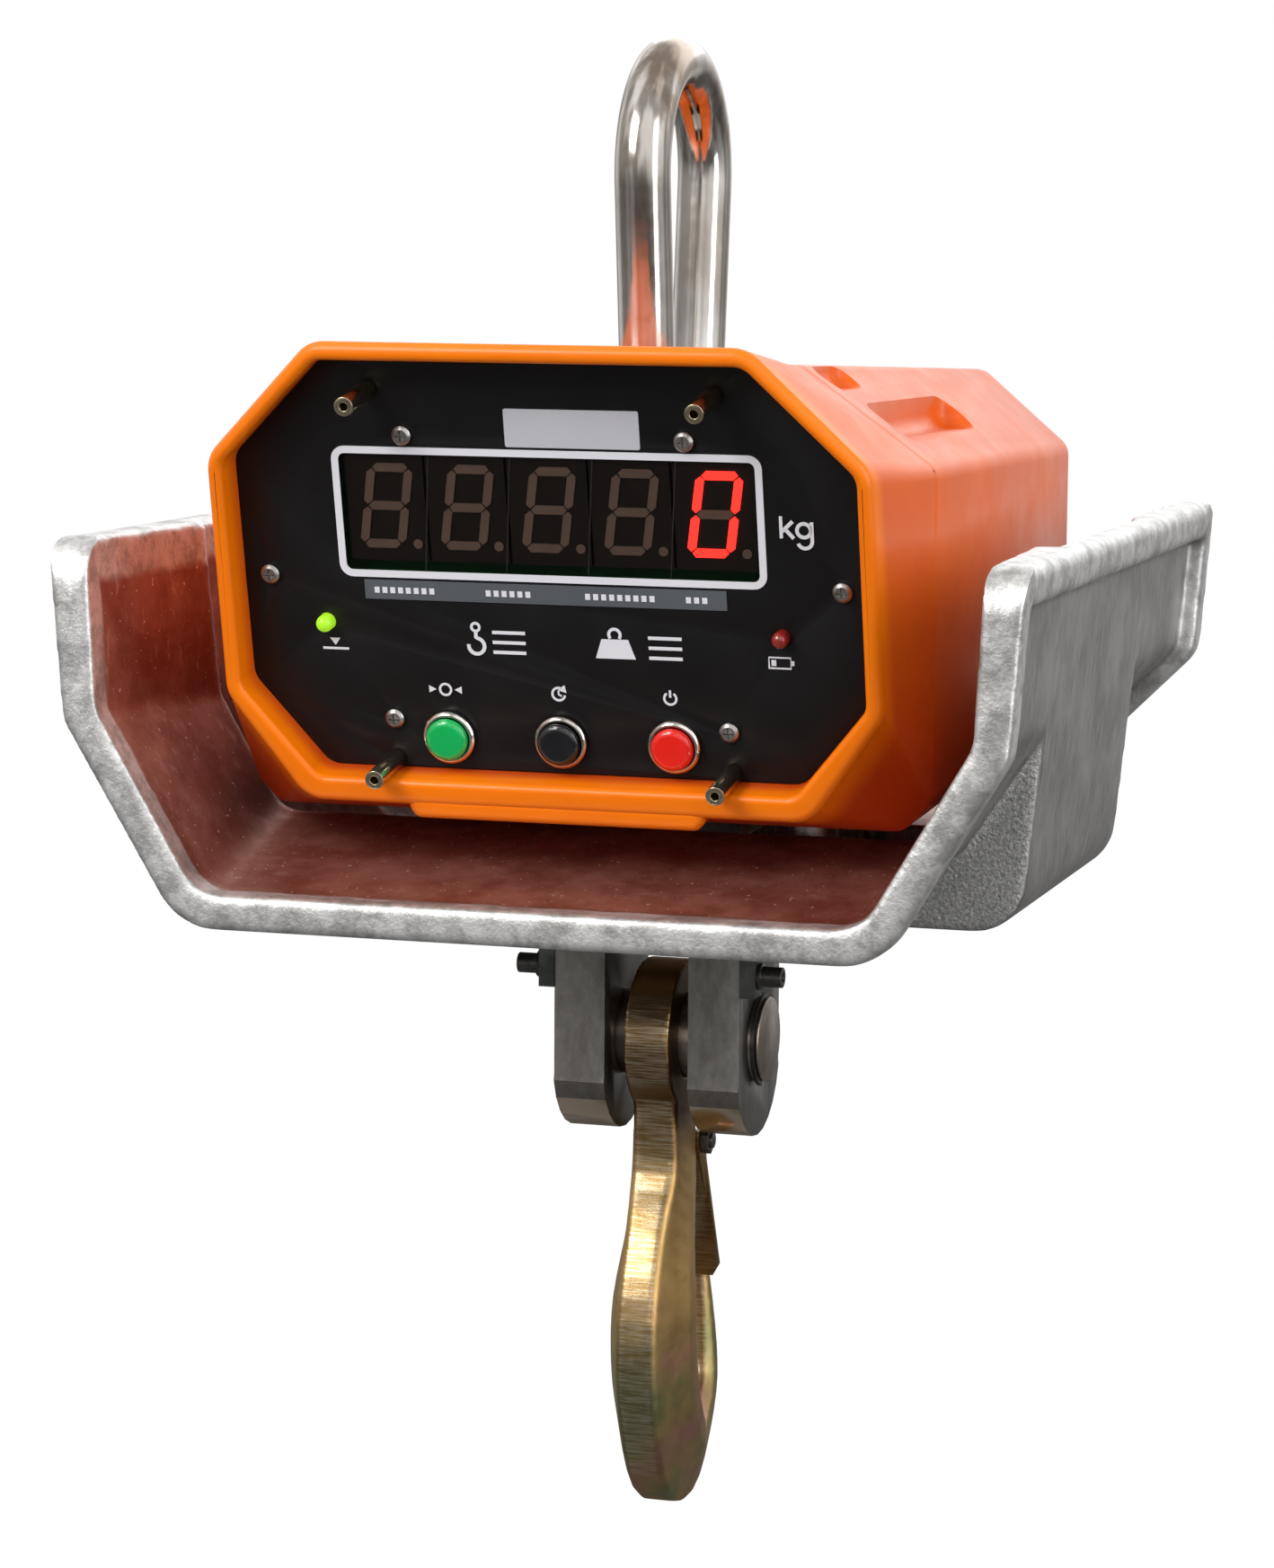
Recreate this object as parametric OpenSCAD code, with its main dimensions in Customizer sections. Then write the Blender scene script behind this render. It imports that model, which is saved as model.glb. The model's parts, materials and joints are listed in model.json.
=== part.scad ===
// Hanging crane scale with a front display, a cast guard, a shackle and a load hook.
// Origin: the seat of the shackle bow, on the load axis. +Z is up, -Y is the display side.

/* [Housing] */
// Half width of the housing at its front split
body_half_w = 104; // [98:1:112]
// Half width of the housing at its back
body_back_half_w = 100; // [94:1:110]
// Distance from the load axis to the housing's front split
split_front = 85; // [75:1:95]
// Distance from the load axis to the back of the housing
body_back = 130; // [110:1:135]
// Wall thickness of the housing
wall = 4; // [3:0.5:6]

/* [Display face] */
// Lean of the display face, top forward
face_tilt = 12.7; // [0:0.1:18]
// Half width of the bezel
bezel_half_w = 98.2; // [94:0.2:102]
// How far the bezel rim stands in front of the panel
bezel_rise = 12; // [8:0.5:14]
// Height of one display digit
digit_h = 25.4; // [20:0.1:26]
// Spacing of the display digits
digit_pitch = 24.6; // [22:0.1:26]
// Length of the threaded standoffs
standoff_len = 20; // [10:1:30]

/* [Guard] */
// Half width of the guard at its top
guard_half_w = 144.5; // [138:0.5:150]
// Reach of the guard in front of the load axis
guard_front = 148; // [130:1:155]
// Reach of the guard behind the load axis
guard_back = 153; // [135:1:158]
// Thickness of the rim bead
bead = 10.5; // [8:0.5:13]

/* [Load line] */
// Diameter of the shackle bar
shackle_bar = 17; // [14:0.5:18]
// Diameter of the lower clevis pin
hook_pin_d = 26.6; // [24:0.2:28]
// Thickness of each clevis ear
ear_t = 16.4; // [14:0.2:18]
// Width of the slot between the ears
clevis_slot = 27.2; // [24:0.2:30]
// Thickness of the hook's eye
eye_t = 14.5; // [12:0.5:18]

/* [Hidden] */
digit_nodes = ["digit_1", "digit_2", "digit_3", "digit_4", "digit_5"];
button_holders = ["zero_button_holder", "recall_button_holder", "power_button_holder"];

// Levels below the bow seat
panel_z = -149;
panel_y = -118;
body_top_front = -80.3;
body_top_back = -88;
body_bottom = -214;
shackle_pin_z = -108;
hook_pin_z = -294.4;
guard_floor = -243.8;
belly_floor = -244.8;

corner_front = 8;
corner_back = 16;
body_chamfer_x = 63.5;
body_chamfer_z = -109.4;
bow_r = 33.5;
bow_centre_z = -bow_r + shackle_bar / 2;
leg_lean = 6.3;
leg_reach = 64;
leg_y = 26.5;
shackle_pin_d = 20;
cell_half_d = 16.5;
run_fit = 0.05;
latch_y = 14.5;
latch_z = -331.3;
ear_x = clevis_slot / 2 + ear_t;
bracket_screw_z = -271;
bracket_t = 5.1;

belly_half_w = 128;
belly_front = 71;
belly_back = 66;
casting_t = 5;
bead_recess = 6;
front_inset = 36;
back_inset = 62;
bolt_x = [-59, 59];
bolt_y = [-47, 47];
clevis_slot_x = 40;

window_w = 126;
window_top = 45.5;
window_bottom = 7.6;
panel_t = 2.5;
board_w = -10.2;
segment_w = 2.6;
digit_w = 14;
digit_slant = 9.5;
digit_base = 15.4;
button_row = -41;
button_pitch = 34.2;
ring_d = 16;
barrel_d = 12.6;
cap_d = 12.6;
led_spots = [-69.7, 67.6];
led_row = -7.1;
pocket_floor = -102.6;
pocket_screw_x = 83;
pocket_screw_z = -99.5;
socket_x = 88.3;
socket_z = -190;
cover_screw_x = [-74, 74];
cover_screw_z = [-200, -108];
standoff_x = 51.3;
standoff_top = 63.1;
standoff_low = -48.4;
panel_screw_spots = [[-42, 49.7], [42, 49.7], [-86, 7], [86, 7], [-50.8, -36], [50.8, -36]];

// ---------- helpers ----------
function unit(a) = a / norm(a);
// Corner of an outline rounded with radius r, as steps + 1 points on the arc
function fillet(a, b, c, r, steps) =
    let (p = unit(a - b), q = unit(c - b), half = acos(max(-1, min(1, p * q))) / 2,
         centre = b + unit(p + q) * r / sin(half),
         s = b + p * r / tan(half), e = b + q * r / tan(half),
         a0 = atan2(s[1] - centre[1], s[0] - centre[0]),
         raw = atan2(e[1] - centre[1], e[0] - centre[0]) - a0,
         sweep = raw > 180 ? raw - 360 : raw < -180 ? raw + 360 : raw)
    [for (i = [0:steps]) centre + r * [cos(a0 + sweep * i / steps), sin(a0 + sweep * i / steps)]];
// Closed outline with every corner rounded by its own radius
function rounded(pts, radii, steps = 5) =
    [for (i = [0:len(pts) - 1])
        let (n = len(pts), r = radii[i])
        each (r > 0 ? fillet(pts[(i + n - 1) % n], pts[i], pts[(i + 1) % n], r, steps) : [pts[i]])];
function mirrored(right) =
    concat(right, [for (i = [len(right) - 1:-1:0]) [-right[i][0], right[i][1]]]);

// Frame of the display face: x right, y up the face, z out of the face
module on_face(w = 0) {
    translate([0, panel_y, panel_z]) rotate([90 + face_tilt, 0, 0]) translate([0, 0, w]) children();
}
// An outline in x and z, drawn out along y
module along_y(y0, y1) {
    translate([0, y1, 0]) rotate([90, 0, 0]) linear_extrude(y1 - y0) children();
}
// An outline in y and z, drawn out along x
module along_x(x0, x1) {
    translate([x0, 0, 0]) rotate([90, 0, 90]) linear_extrude(x1 - x0) children();
}
module bar_x(x0, x1, d) {
    translate([x0, 0, 0]) rotate([0, 90, 0]) cylinder(h = x1 - x0, d = d, $fn = 96);
}
module bar_y(y0, y1, d) {
    translate([0, y0, 0]) rotate([-90, 0, 0]) cylinder(h = y1 - y0, d = d, $fn = 96);
}
module box(x0, x1, y0, y1, z0, z1) {
    translate([x0, y0, z0]) cube([x1 - x0, y1 - y0, z1 - z0]);
}

// ---------- display face ----------
// Outer outline of the bezel
module bezel_outline() {
    right = [[76, -58.3], [bezel_half_w, -26.5], [bezel_half_w - 0.8, 44.5], [64, 78.4]];
    polygon(rounded(mirrored(right), [for (i = [0:7]) 10], 6));
}
// Outline of the recess in the bezel, drawn in by d all round
module recess_outline(d = 0) {
    right = [[72.2 - 0.4 * d, -51.2 + d], [94.2 - d, -24.5 + 0.2 * d],
             [94.2 - d, 43 - 0.4 * d], [63 - 0.5 * d, 74 - d]];
    polygon(rounded(mirrored(right), [for (i = [0:7]) 7], 6));
}
module chin_outline() {
    polygon(rounded([[-50, -54], [-43, -62.8], [43, -62.8], [50, -54]], [2, 5, 5, 2], 5));
}
module front_section(y, d = 0) {
    along_y(y - 1, y) polygon(mirrored([[body_half_w - corner_front - 0.4 * d, body_bottom + d],
        [body_half_w - d, body_bottom + corner_front + 0.4 * d],
        [body_half_w - d, body_chamfer_z - 0.4 * d], [body_chamfer_x - 0.5 * d, body_top_front - d]]));
}
module back_section(y, d = 0) {
    along_y(y, y + 1) polygon(mirrored([[body_back_half_w - corner_back - 0.4 * d, body_bottom + d],
        [body_back_half_w - d, body_bottom + corner_back + 0.4 * d],
        [body_back_half_w - d, -113 - 0.4 * d], [71 - 0.5 * d, body_top_back - d]]));
}
module front_housing() {
    color("darkorange") difference() {
        union() {
            difference() {
                union() {
                    hull() {
                        on_face(bezel_rise - 1) linear_extrude(1) bezel_outline();
                        front_section(-split_front);
                    }
                    on_face(-6) linear_extrude(bezel_rise + 5.6) chin_outline();
                }
                on_face(-panel_t - 0.1) linear_extrude(bezel_rise + 10) recess_outline();
                hull() {
                    on_face(-panel_t - 3.6) linear_extrude(0.5) recess_outline(2);
                    translate([0, 1, 0]) front_section(-split_front, wall);
                }
                on_face(-panel_t - 3.5) linear_extrude(5) recess_outline(4);
                // Room behind the panel for the button nuts and the standoff nuts
                on_face(-14) for (i = [-1:1])
                    translate([i * button_pitch, button_row, 0]) cylinder(h = 13, d = 20.4, $fn = 64);
                on_face(-9) for (x = [-standoff_x, standoff_x], v = [standoff_low, standoff_top])
                    translate([x, v, 0]) cylinder(h = 8, d = 7.4, $fn = 48);
            }
            // Bosses that take the screws from the pockets
            for (s = [-1, 1]) translate([s * pocket_screw_x, 0, pocket_screw_z])
                bar_y(-split_front - 12, -split_front - 0.1, 8);
        }
        for (s = [-1, 1]) translate([s * pocket_screw_x, 0, pocket_screw_z])
            bar_y(-split_front - 9, -split_front + 1, 4.1);
    }
}
module front_panel() {
    color("#242424") on_face(-panel_t) difference() {
        linear_extrude(panel_t) recess_outline(0.3);
        translate([-window_w / 2, window_bottom, -1]) cube([window_w, window_top - window_bottom, 5]);
        for (i = [-1:1]) translate([i * button_pitch, button_row, -1]) cylinder(h = 5, d = barrel_d + 0.4, $fn = 64);
        for (s = panel_screw_spots) translate([s[0], s[1], -1]) cylinder(h = 5, d = 3.4, $fn = 32);
        for (x = led_spots) translate([x, led_row, -1]) cylinder(h = 5, d = 5.3, $fn = 48);
        for (x = [-standoff_x, standoff_x], v = [standoff_low, standoff_top])
            translate([x, v, -1]) cylinder(h = 5, d = 3.4, $fn = 32);
    }
}
module panel_screws() {
    color("silver") for (s = panel_screw_spots) on_face(0.1) translate([s[0], s[1], 0]) {
        difference() {
            union() {
                cylinder(h = 1, d = 5.8, $fn = 48);
                translate([0, 0, 1]) cylinder(h = 0.8, d1 = 5.8, d2 = 4, $fn = 48);
            }
            translate([-1.6, -0.3, 0.8]) cube([3.2, 0.6, 2]);
            translate([-0.3, -1.6, 0.8]) cube([0.6, 3.2, 2]);
        }
        translate([0, 0, -6.5]) cylinder(h = 6.5, d = 3, $fn = 32);
    }
}
// Frame round the window, printed as a thin raised band
module window_frame() {
    half = window_w / 2 + 1.2;
    low = window_bottom - 0.6;
    high = window_top + 0.6;
    band = 2.1;
    color("white") on_face(0.03) linear_extrude(0.3) difference() {
        polygon(rounded([[-half, low], [half, low], [half, high], [-half, high]], [4, 4, 4, 4], 6));
        polygon(rounded([[-half + band, low + band], [half - band, low + band],
                         [half - band, high - band], [-half + band, high - band]], [2, 2, 2, 2], 6));
    }
}
module display_lens() {
    color("#3a1010") on_face(-1.3) translate([-window_w / 2 + 0.2, window_bottom + 0.2, 0])
        cube([window_w - 0.4, window_top - window_bottom - 0.4, 1.2]);
}
// One digit module: a dark block behind the lens
module digit_module(i) {
    color("#2b2b2b") on_face(board_w + 0.1)
        translate([(i - 2) * digit_pitch - 11.9, digit_base + digit_h / 2 - 16.6, 0]) cube([23.8, 33.2, 8.2]);
}
function slant(v) = v * tan(digit_slant);
// Pointed bars of a seven segment digit, level and upright
function bar_h(v) = let (s = segment_w / 2)
    [[s + 0.35, v], [2 * s + 0.2, v + s], [digit_w - 2 * s - 0.2, v + s],
     [digit_w - s - 0.35, v], [digit_w - 2 * s - 0.2, v - s], [2 * s + 0.2, v - s]];
function bar_v(u, v0, v1) = let (s = segment_w / 2)
    [[u, v0 + 0.35], [u + s, v0 + s + 0.2], [u + s, v1 - s - 0.2],
     [u, v1 - 0.35], [u - s, v1 - s - 0.2], [u - s, v0 + s + 0.2]];
function segments() = let (h = digit_h, s = segment_w / 2, m = digit_h / 2)
    [bar_h(h - s), bar_v(digit_w - s, m, h - s), bar_v(digit_w - s, s, m),
     bar_h(s), bar_v(s, s, m), bar_v(s, m, h - s), bar_h(m)];
module segment(i, k) {
    on_face(-1.75) translate([(i - 2) * digit_pitch - 8.9, digit_base, 0]) linear_extrude(0.35)
        polygon([for (p = segments()[k]) [p[0] + slant(p[1]), p[1]]]);
}
module unlit_segments() {
    color("#6b5d55") {
        for (i = [0:3], k = [0:6]) segment(i, k);
        segment(4, 6);
        for (i = [0:4]) on_face(-1.75) translate([(i - 2) * digit_pitch + 9, digit_base + 1.4, 0])
            cylinder(h = 0.35, d = 2.8, $fn = 32);
    }
}
module lit_segments() {
    color("red") for (k = [0:5]) segment(4, k);
}
module display_board() {
    color("darkgreen") on_face(board_w - 1.6) difference() {
        linear_extrude(1.6) polygon(mirrored([[69, -43], [89.5, -21], [89.5, 40], [67, 62]]));
        for (i = [-1:1]) translate([i * button_pitch, button_row, -1]) cylinder(h = 4, d = barrel_d + 1, $fn = 48);
    }
}
// Threaded pillars that carry the display board behind the panel
module board_pillars() {
    color("khaki") for (s = panel_screw_spots) on_face(board_w + 0.1) translate([s[0], s[1], 0]) difference() {
        cylinder(h = -panel_t - board_w - 0.2, d = 6, $fn = 48);
        translate([0, 0, 3]) cylinder(h = 8, d = 3.1, $fn = 32);
    }
}
module standoff_nuts() {
    color("silver") for (x = [-standoff_x, standoff_x], v = [standoff_low, standoff_top])
        on_face(-panel_t - 2.5) translate([x, v, 0]) difference() {
            cylinder(h = 2.4, d = 6.2, $fn = 6);
            translate([0, 0, -1]) cylinder(h = 5, d = 3.1, $fn = 32);
        }
}
module rating_strip() {
    color("#565b60") on_face(0.03) translate([-57, 0.4, 0]) cube([109, 5.8, 0.3]);
}
module maker_plate() {
    color("silver") on_face(0.03) linear_extrude(0.3)
        polygon(rounded([[-11, 46.9], [29, 46.9], [29, 58.1], [-11, 58.1]], [0.6, 0.6, 0.6, 0.6], 3));
}
// Push button cap, free to slide in its holder
module button_cap(i, shade) {
    color(shade) on_face(0) translate([i * button_pitch, button_row, 0]) {
        translate([0, 0, -9]) cylinder(h = 11.5, d = 6, $fn = 48);
        translate([0, 0, 2.5]) cylinder(h = 1.6, d = cap_d, $fn = 64);
        translate([0, 0, 4.1]) cylinder(h = 1, d1 = cap_d, d2 = cap_d - 2.6, $fn = 64);
    }
}
// Chromed ring on a threaded barrel, with its nut behind the panel
module button_holder(i) {
    color("gainsboro") on_face(0) translate([i * button_pitch, button_row, 0]) difference() {
        union() {
            translate([0, 0, 0.1]) cylinder(h = 1.6, d = ring_d, $fn = 96);
            translate([0, 0, 1.7]) cylinder(h = 0.8, d1 = ring_d, d2 = cap_d + 1.8, $fn = 96);
            translate([0, 0, -12]) cylinder(h = 12.2, d = barrel_d, $fn = 64);
            translate([0, 0, -panel_t - 3.1]) cylinder(h = 3, d = 19, $fn = 6);
        }
        translate([0, 0, 0.3]) cylinder(h = 6, d = cap_d + 0.4, $fn = 96);
        translate([0, 0, -13]) cylinder(h = 16, d = 6.1, $fn = 48);
    }
}
module led(x, shade) {
    color(shade) on_face(0) translate([x, led_row, 0]) {
        for (a = [-1.3, 1.3]) translate([a, 0, board_w + 0.1]) cylinder(h = -4 - board_w, d = 0.9, $fn = 16);
        translate([0, 0, -4]) cylinder(h = 1, d = 5.9, $fn = 48);
        translate([0, 0, -3.2]) cylinder(h = 5.4, d = 5, $fn = 48);
        translate([0, 0, 2.2]) intersection() {
            sphere(d = 5, $fn = 48);
            cylinder(h = 4, d = 6, $fn = 24);
        }
    }
}
module standoffs() {
    color("darkkhaki") for (x = [-standoff_x, standoff_x], v = [standoff_low, standoff_top])
        on_face(0) translate([x, v, 0]) difference() {
            union() {
                translate([0, 0, 0.1]) cylinder(h = standoff_len, d = 5.6, $fn = 64);
                translate([0, 0, -5.5]) cylinder(h = 5.6, d = 3, $fn = 32);
            }
            translate([0, 0, 0.1 + standoff_len - 8]) cylinder(h = 10, d = 2.5, $fn = 48);
        }
}

// ---------- rear housing and what it holds ----------
module housing_gasket() {
    color("#1e1e1e") difference() {
        translate([0, 1, 0]) front_section(-split_front, 0.6);
        translate([0, 1, 0]) gasket_hole();
        for (s = [-1, 1]) translate([s * pocket_screw_x, 0, pocket_screw_z]) bar_y(-90, -80, 4.4);
    }
}
module gasket_hole() {
    along_y(-split_front - 1.5, -split_front + 1.5) polygon(mirrored([
        [body_half_w - corner_front - 1.4, body_bottom + 3.4], [body_half_w - 3.4, body_bottom + corner_front + 1.4],
        [body_half_w - 3.4, body_chamfer_z - 1.4], [body_chamfer_x - 1.7, body_top_front - 3.4]]));
}
// Pockets cut into each upper chamfer behind the split, drawn bigger by d for their walls
module pockets(d = 0) {
    for (s = [0, 1]) mirror([s, 0, 0]) {
        box(79 - d, 120, -72 - d, 22 + d, pocket_floor - d, -60);
        box(64 - d, 92, -78 - d, -48 + d, -88 - d, -60);
    }
}
module rear_housing() {
    color("darkorange") difference() {
        hull() {
            translate([0, 2.2, 0]) front_section(-split_front);
            back_section(body_back - 1);
        }
        difference() {
            hull() {
                front_section(-split_front, wall);
                back_section(body_back - wall - 1, wall);
            }
            pockets(wall);
        }
        pockets();
        // Ways through for the shackle, the load line and the battery
        box(-21, 21, -45, 45, -110, -60);
        box(-40, 40, -33, 33, -230, -205);
        box(-70, 70, body_back - 10, body_back + 10, -196, -112);
        // Holes for the guard bolts, the charge socket and the screws
        for (x = bolt_x, y = bolt_y) translate([x, y, -220]) cylinder(h = 20, d = 6.6, $fn = 48);
        translate([socket_x, 0, socket_z]) bar_y(body_back - 10, body_back + 10, 12.4);
        for (s = [-1, 1]) translate([s * pocket_screw_x, 0, pocket_screw_z]) bar_y(-90, -65, 4.4);
        for (x = cover_screw_x, z = cover_screw_z) translate([x, 0, z]) bar_y(body_back - 8, body_back + 4, 4.2);
    }
}
module pocket_screws() {
    color("silver") for (s = [-1, 1]) translate([s * pocket_screw_x, 0, pocket_screw_z]) {
        difference() {
            bar_y(-71.9, -68.5, 6);
            translate([0, -70, 0]) rotate([-90, 0, 0]) cylinder(h = 3, d = 3.2, $fn = 6);
        }
        bar_y(-split_front - 8, -71.8, 4);
    }
}
module battery_cover() {
    color("orangered") {
        difference() {
            box(-79, 79, body_back + 0.1, body_back + 3.1, -205, -103);
            for (x = cover_screw_x, z = cover_screw_z) translate([x, 0, z]) bar_y(body_back - 1, body_back + 6, 4.2);
        }
        box(-69, 69, body_back - 3.4, body_back + 0.1, -195, -113);
    }
}
module battery_cover_screws() {
    color("silver") for (x = cover_screw_x, z = cover_screw_z) translate([x, body_back + 3.2, z]) {
        difference() {
            bar_y(0, 2.4, 7.4);
            translate([0, 1, 0]) rotate([-90, 0, 0]) cylinder(h = 2, d = 3.2, $fn = 6);
        }
        bar_y(-7, 0.1, 4);
    }
}
module battery_tray() {
    color("dimgray") difference() {
        box(-60, 60, 62, 122, -209.7, -150);
        box(-57, 57, 65, 119, -206.7, -140);
    }
}
module battery() {
    color("#303438") {
        box(-55, 55, 67, 117, -206.4, -120);
        for (x = [-40, 40]) box(x - 3, x + 3, 88, 96, -120, -114);
    }
}
// Half width inside the rear housing at y
function inside_w(y) = body_half_w - wall
    - (body_half_w - body_back_half_w) * (y + split_front) / (body_back + split_front);
module board_posts() {
    color("khaki") for (z = [-196, -124], y = [-66, 36]) translate([0, y, z])
        bar_x(-inside_w(y) + 0.15, -82.1, 6);
}
module main_board() {
    color("seagreen") {
        box(-82, -80.4, -72, 42, -202, -118);
        box(-80.4, -70, -40, -20, -160, -140);
        for (i = [0:4]) box(-80.4, -76, -64 + 20 * i, -54 + 20 * i, -190, -176);
        translate([-80.4, 20, -140]) rotate([0, 90, 0]) cylinder(h = 14, d = 12, $fn = 48);
    }
}
module charge_socket() {
    color("#202020") translate([socket_x, body_back, socket_z]) rotate([-90, 0, 0]) difference() {
        union() {
            translate([0, 0, 0.1]) cylinder(h = 2, d = 16, $fn = 64);
            translate([0, 0, -16]) cylinder(h = 17, d = 12, $fn = 64);
        }
        translate([0, 0, -8]) cylinder(h = 20, d = 8, $fn = 64);
    }
}

// ---------- guard ----------
// Right side of the guard's outline in x and z, drawn in by d. inset is how far the
// lower corner steps in from the side, and lift raises the side's vertex
function guard_right(d, inset, lift = 0) = [
    [guard_half_w - 4.2 - inset - 0.5 * d, guard_floor + d],
    [guard_half_w - 4.2 - d, -184.3 + lift + 0.3 * d],
    [guard_half_w - d, -131.4]];
module guard_ring(d0, d1, inset, lift = 0) {
    inner = [for (p = guard_right(d1, inset, lift)) p[1] > -132 ? [p[0], -100] : p];
    difference() {
        polygon(rounded(mirrored(guard_right(d0, inset, lift)), [20, 12, 0, 0, 12, 20], 6));
        polygon(rounded(mirrored(inner), [14, 8, 0, 0, 8, 14], 6));
    }
}
module top_bead(s) {
    along_y(-guard_front + 2, guard_back - 2)
        polygon(rounded([[s * (guard_half_w - bead), -131.4], [s * (guard_half_w - bead - 1), -144],
                         [s * (guard_half_w - 1), -144], [s * guard_half_w, -131.4]], [4, 3, 3, 4], 4));
}
module guard() {
    color("lightgray") difference() {
        union() {
            along_y(-guard_front, -guard_front + 12) guard_ring(0, bead, front_inset);
            along_y(guard_back - 12, guard_back) guard_ring(0, bead, back_inset, 2);
            front_skirt();
            along_y(belly_back - 2, guard_back - 6) guard_ring(bead_recess, bead, back_inset, 2);
            for (s = [-1, 1]) top_bead(s);
            belly();
        }
        // Slot for the clevis and holes for the guard bolts
        box(-clevis_slot_x, clevis_slot_x, -33, 33, -260, -230);
        for (x = bolt_x, y = bolt_y) translate([x, y, -270]) cylinder(h = 40, d = 6.6, $fn = 48);
    }
}
// Half outlines of the front skirt where it meets the belly
skirt_inner = [[103.7, -219.1], [123.6, -184.3], [130, -120]];
skirt_outer = [[108, -223.6], [134.3, -184.3], [138.5, -131.4]];
// Front skirt: it rises and narrows from the bead to the opening in the belly
module front_skirt() {
    difference() {
        hull() {
            along_y(-guard_front + 6, -guard_front + 6.1)
                polygon(rounded(mirrored(guard_right(bead_recess, front_inset)), [14, 10, 0, 0, 10, 14], 5));
            along_y(-belly_front + 1.9, -belly_front + 2)
                polygon(rounded(mirrored(skirt_outer), [14, 10, 0, 0, 10, 14], 5));
        }
        hull() {
            along_y(-guard_front + 5.9, -guard_front + 12) polygon(rounded(
                mirrored([for (p = guard_right(bead, front_inset)) p[1] > -132 ? [p[0], -100] : p]),
                [12, 8, 0, 0, 8, 12], 5));
            along_y(-belly_front + 2, -belly_front + 2.1)
                polygon(rounded(mirrored(skirt_inner), [10, 8, 0, 0, 8, 10], 5));
        }
    }
}
// Deeper middle of the guard, open where the skirts meet it
module belly() {
    top_x = guard_half_w - bead_recess;
    vertex_x = guard_half_w - 4.2 - bead_recess;
    outer = mirrored([[belly_half_w, belly_floor], [vertex_x, -184], [top_x, -133]]);
    inner = mirrored([[belly_half_w - casting_t, belly_floor + casting_t], [vertex_x - casting_t, -184],
                      [top_x - casting_t + 0.5, -120]]);
    difference() {
        along_y(-belly_front, belly_back) polygon(rounded(outer, [16, 0, 0, 0, 0, 16], 6));
        along_y(-belly_front + casting_t, belly_back - casting_t)
            polygon(rounded(inner, [12, 0, 0, 0, 0, 12], 6));
        along_y(-belly_front - 1, -belly_front + casting_t + 1)
            polygon(rounded(mirrored(skirt_inner), [10, 8, 0, 0, 8, 10], 5));
        along_y(belly_back - casting_t - 1, belly_back + 1)
            polygon(mirrored([[guard_half_w - 4.2 - back_inset - 0.5 * bead, guard_floor + bead],
                              [guard_half_w - 4.2 - bead - 0.05, -184.3 + 0.3 * bead],
                              [guard_half_w - bead - 0.05, -120]]));
    }
    for (x = bolt_x, y = bolt_y) translate([x, y, belly_floor - 6]) cylinder(h = 7, d = 16, $fn = 48);
}
module guard_bolts() {
    color("#3c3c3c") for (x = bolt_x, y = bolt_y) translate([x, y, 0]) {
        difference() {
            translate([0, 0, belly_floor - 6.2 - 8]) cylinder(h = 8, d = 11, $fn = 48);
            translate([0, 0, belly_floor - 15]) cylinder(h = 5, d = 5.8, $fn = 6);
        }
        translate([0, 0, belly_floor - 6.3]) cylinder(h = 46, d = 6, $fn = 48);
    }
}
module guard_nuts() {
    color("silver") for (x = bolt_x, y = bolt_y) translate([x, y, body_bottom + wall + 0.1]) difference() {
        cylinder(h = 5, d = 11.5, $fn = 6);
        translate([0, 0, -1]) cylinder(h = 8, d = 6.1, $fn = 64);
    }
}
module guard_spacers() {
    color("gray") for (x = bolt_x, y = bolt_y) translate([x, y, belly_floor + casting_t + 0.1])
        difference() {
            cylinder(h = body_bottom - belly_floor - casting_t - 0.2, d = 15, $fn = 64);
            translate([0, 0, -1]) cylinder(h = 60, d = 6.6, $fn = 48);
        }
}
module guard_brackets() {
    color("#4a4d48") for (s = [0, 1]) mirror([s, 0, 0]) {
        difference() {
            union() {
                box(ear_x + 0.1, ear_x + bracket_t, -24, -15.5, -277.5, belly_floor - 3.1);
                box(ear_x + 0.1, 54, -24, -15.5, belly_floor - 3.1, belly_floor - 0.1);
            }
            translate([0, -19.5, bracket_screw_z]) bar_x(20, 50, 4.4);
        }
    }
}
module bracket_screws() {
    color("#333333") for (s = [0, 1]) mirror([s, 0, 0]) translate([ear_x, -19.5, bracket_screw_z]) {
        bar_x(bracket_t + 0.1, bracket_t + 1.4, 8.4);
        difference() {
            bar_x(bracket_t + 1.3, bracket_t + 7.8, 6.4);
            translate([bracket_t + 5, 0, 0]) rotate([0, 90, 0]) cylinder(h = 4, d = 3.4, $fn = 6);
        }
        bar_x(-3.5, bracket_t + 1.4, 4);
    }
}

// ---------- load line ----------
module shackle() {
    // The legs run on tangent from the bow, which turns a little past half a circle
    turn = 180 + 2 * leg_lean;
    bow = [for (i = [0:44]) let (a = -leg_lean + turn * i / 44)
        [0, bow_r * cos(a), bow_centre_z + bow_r * sin(a)]];
    foot_y = bow_r * cos(leg_lean) - leg_reach * sin(leg_lean);
    foot_z = bow_centre_z - bow_r * sin(leg_lean) - leg_reach * cos(leg_lean);
    color("gainsboro") difference() {
        union() {
            tube(concat([[0, foot_y, foot_z]], bow, [[0, -foot_y, foot_z]]), shackle_bar, [1, 0, 0], 36);
            for (s = [-1, 1]) translate([0, s * leg_y, shackle_pin_z]) bar_y(-8.4, 8.4, 38);
        }
        translate([0, 0, shackle_pin_z]) bar_y(-60, 60, shackle_pin_d + 0.6);
    }
}
module shackle_pin() {
    color("silver") translate([0, 0, shackle_pin_z]) {
        bar_y(-36, 46, shackle_pin_d);
        bar_y(-43, -35.1, 30);
    }
}
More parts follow.
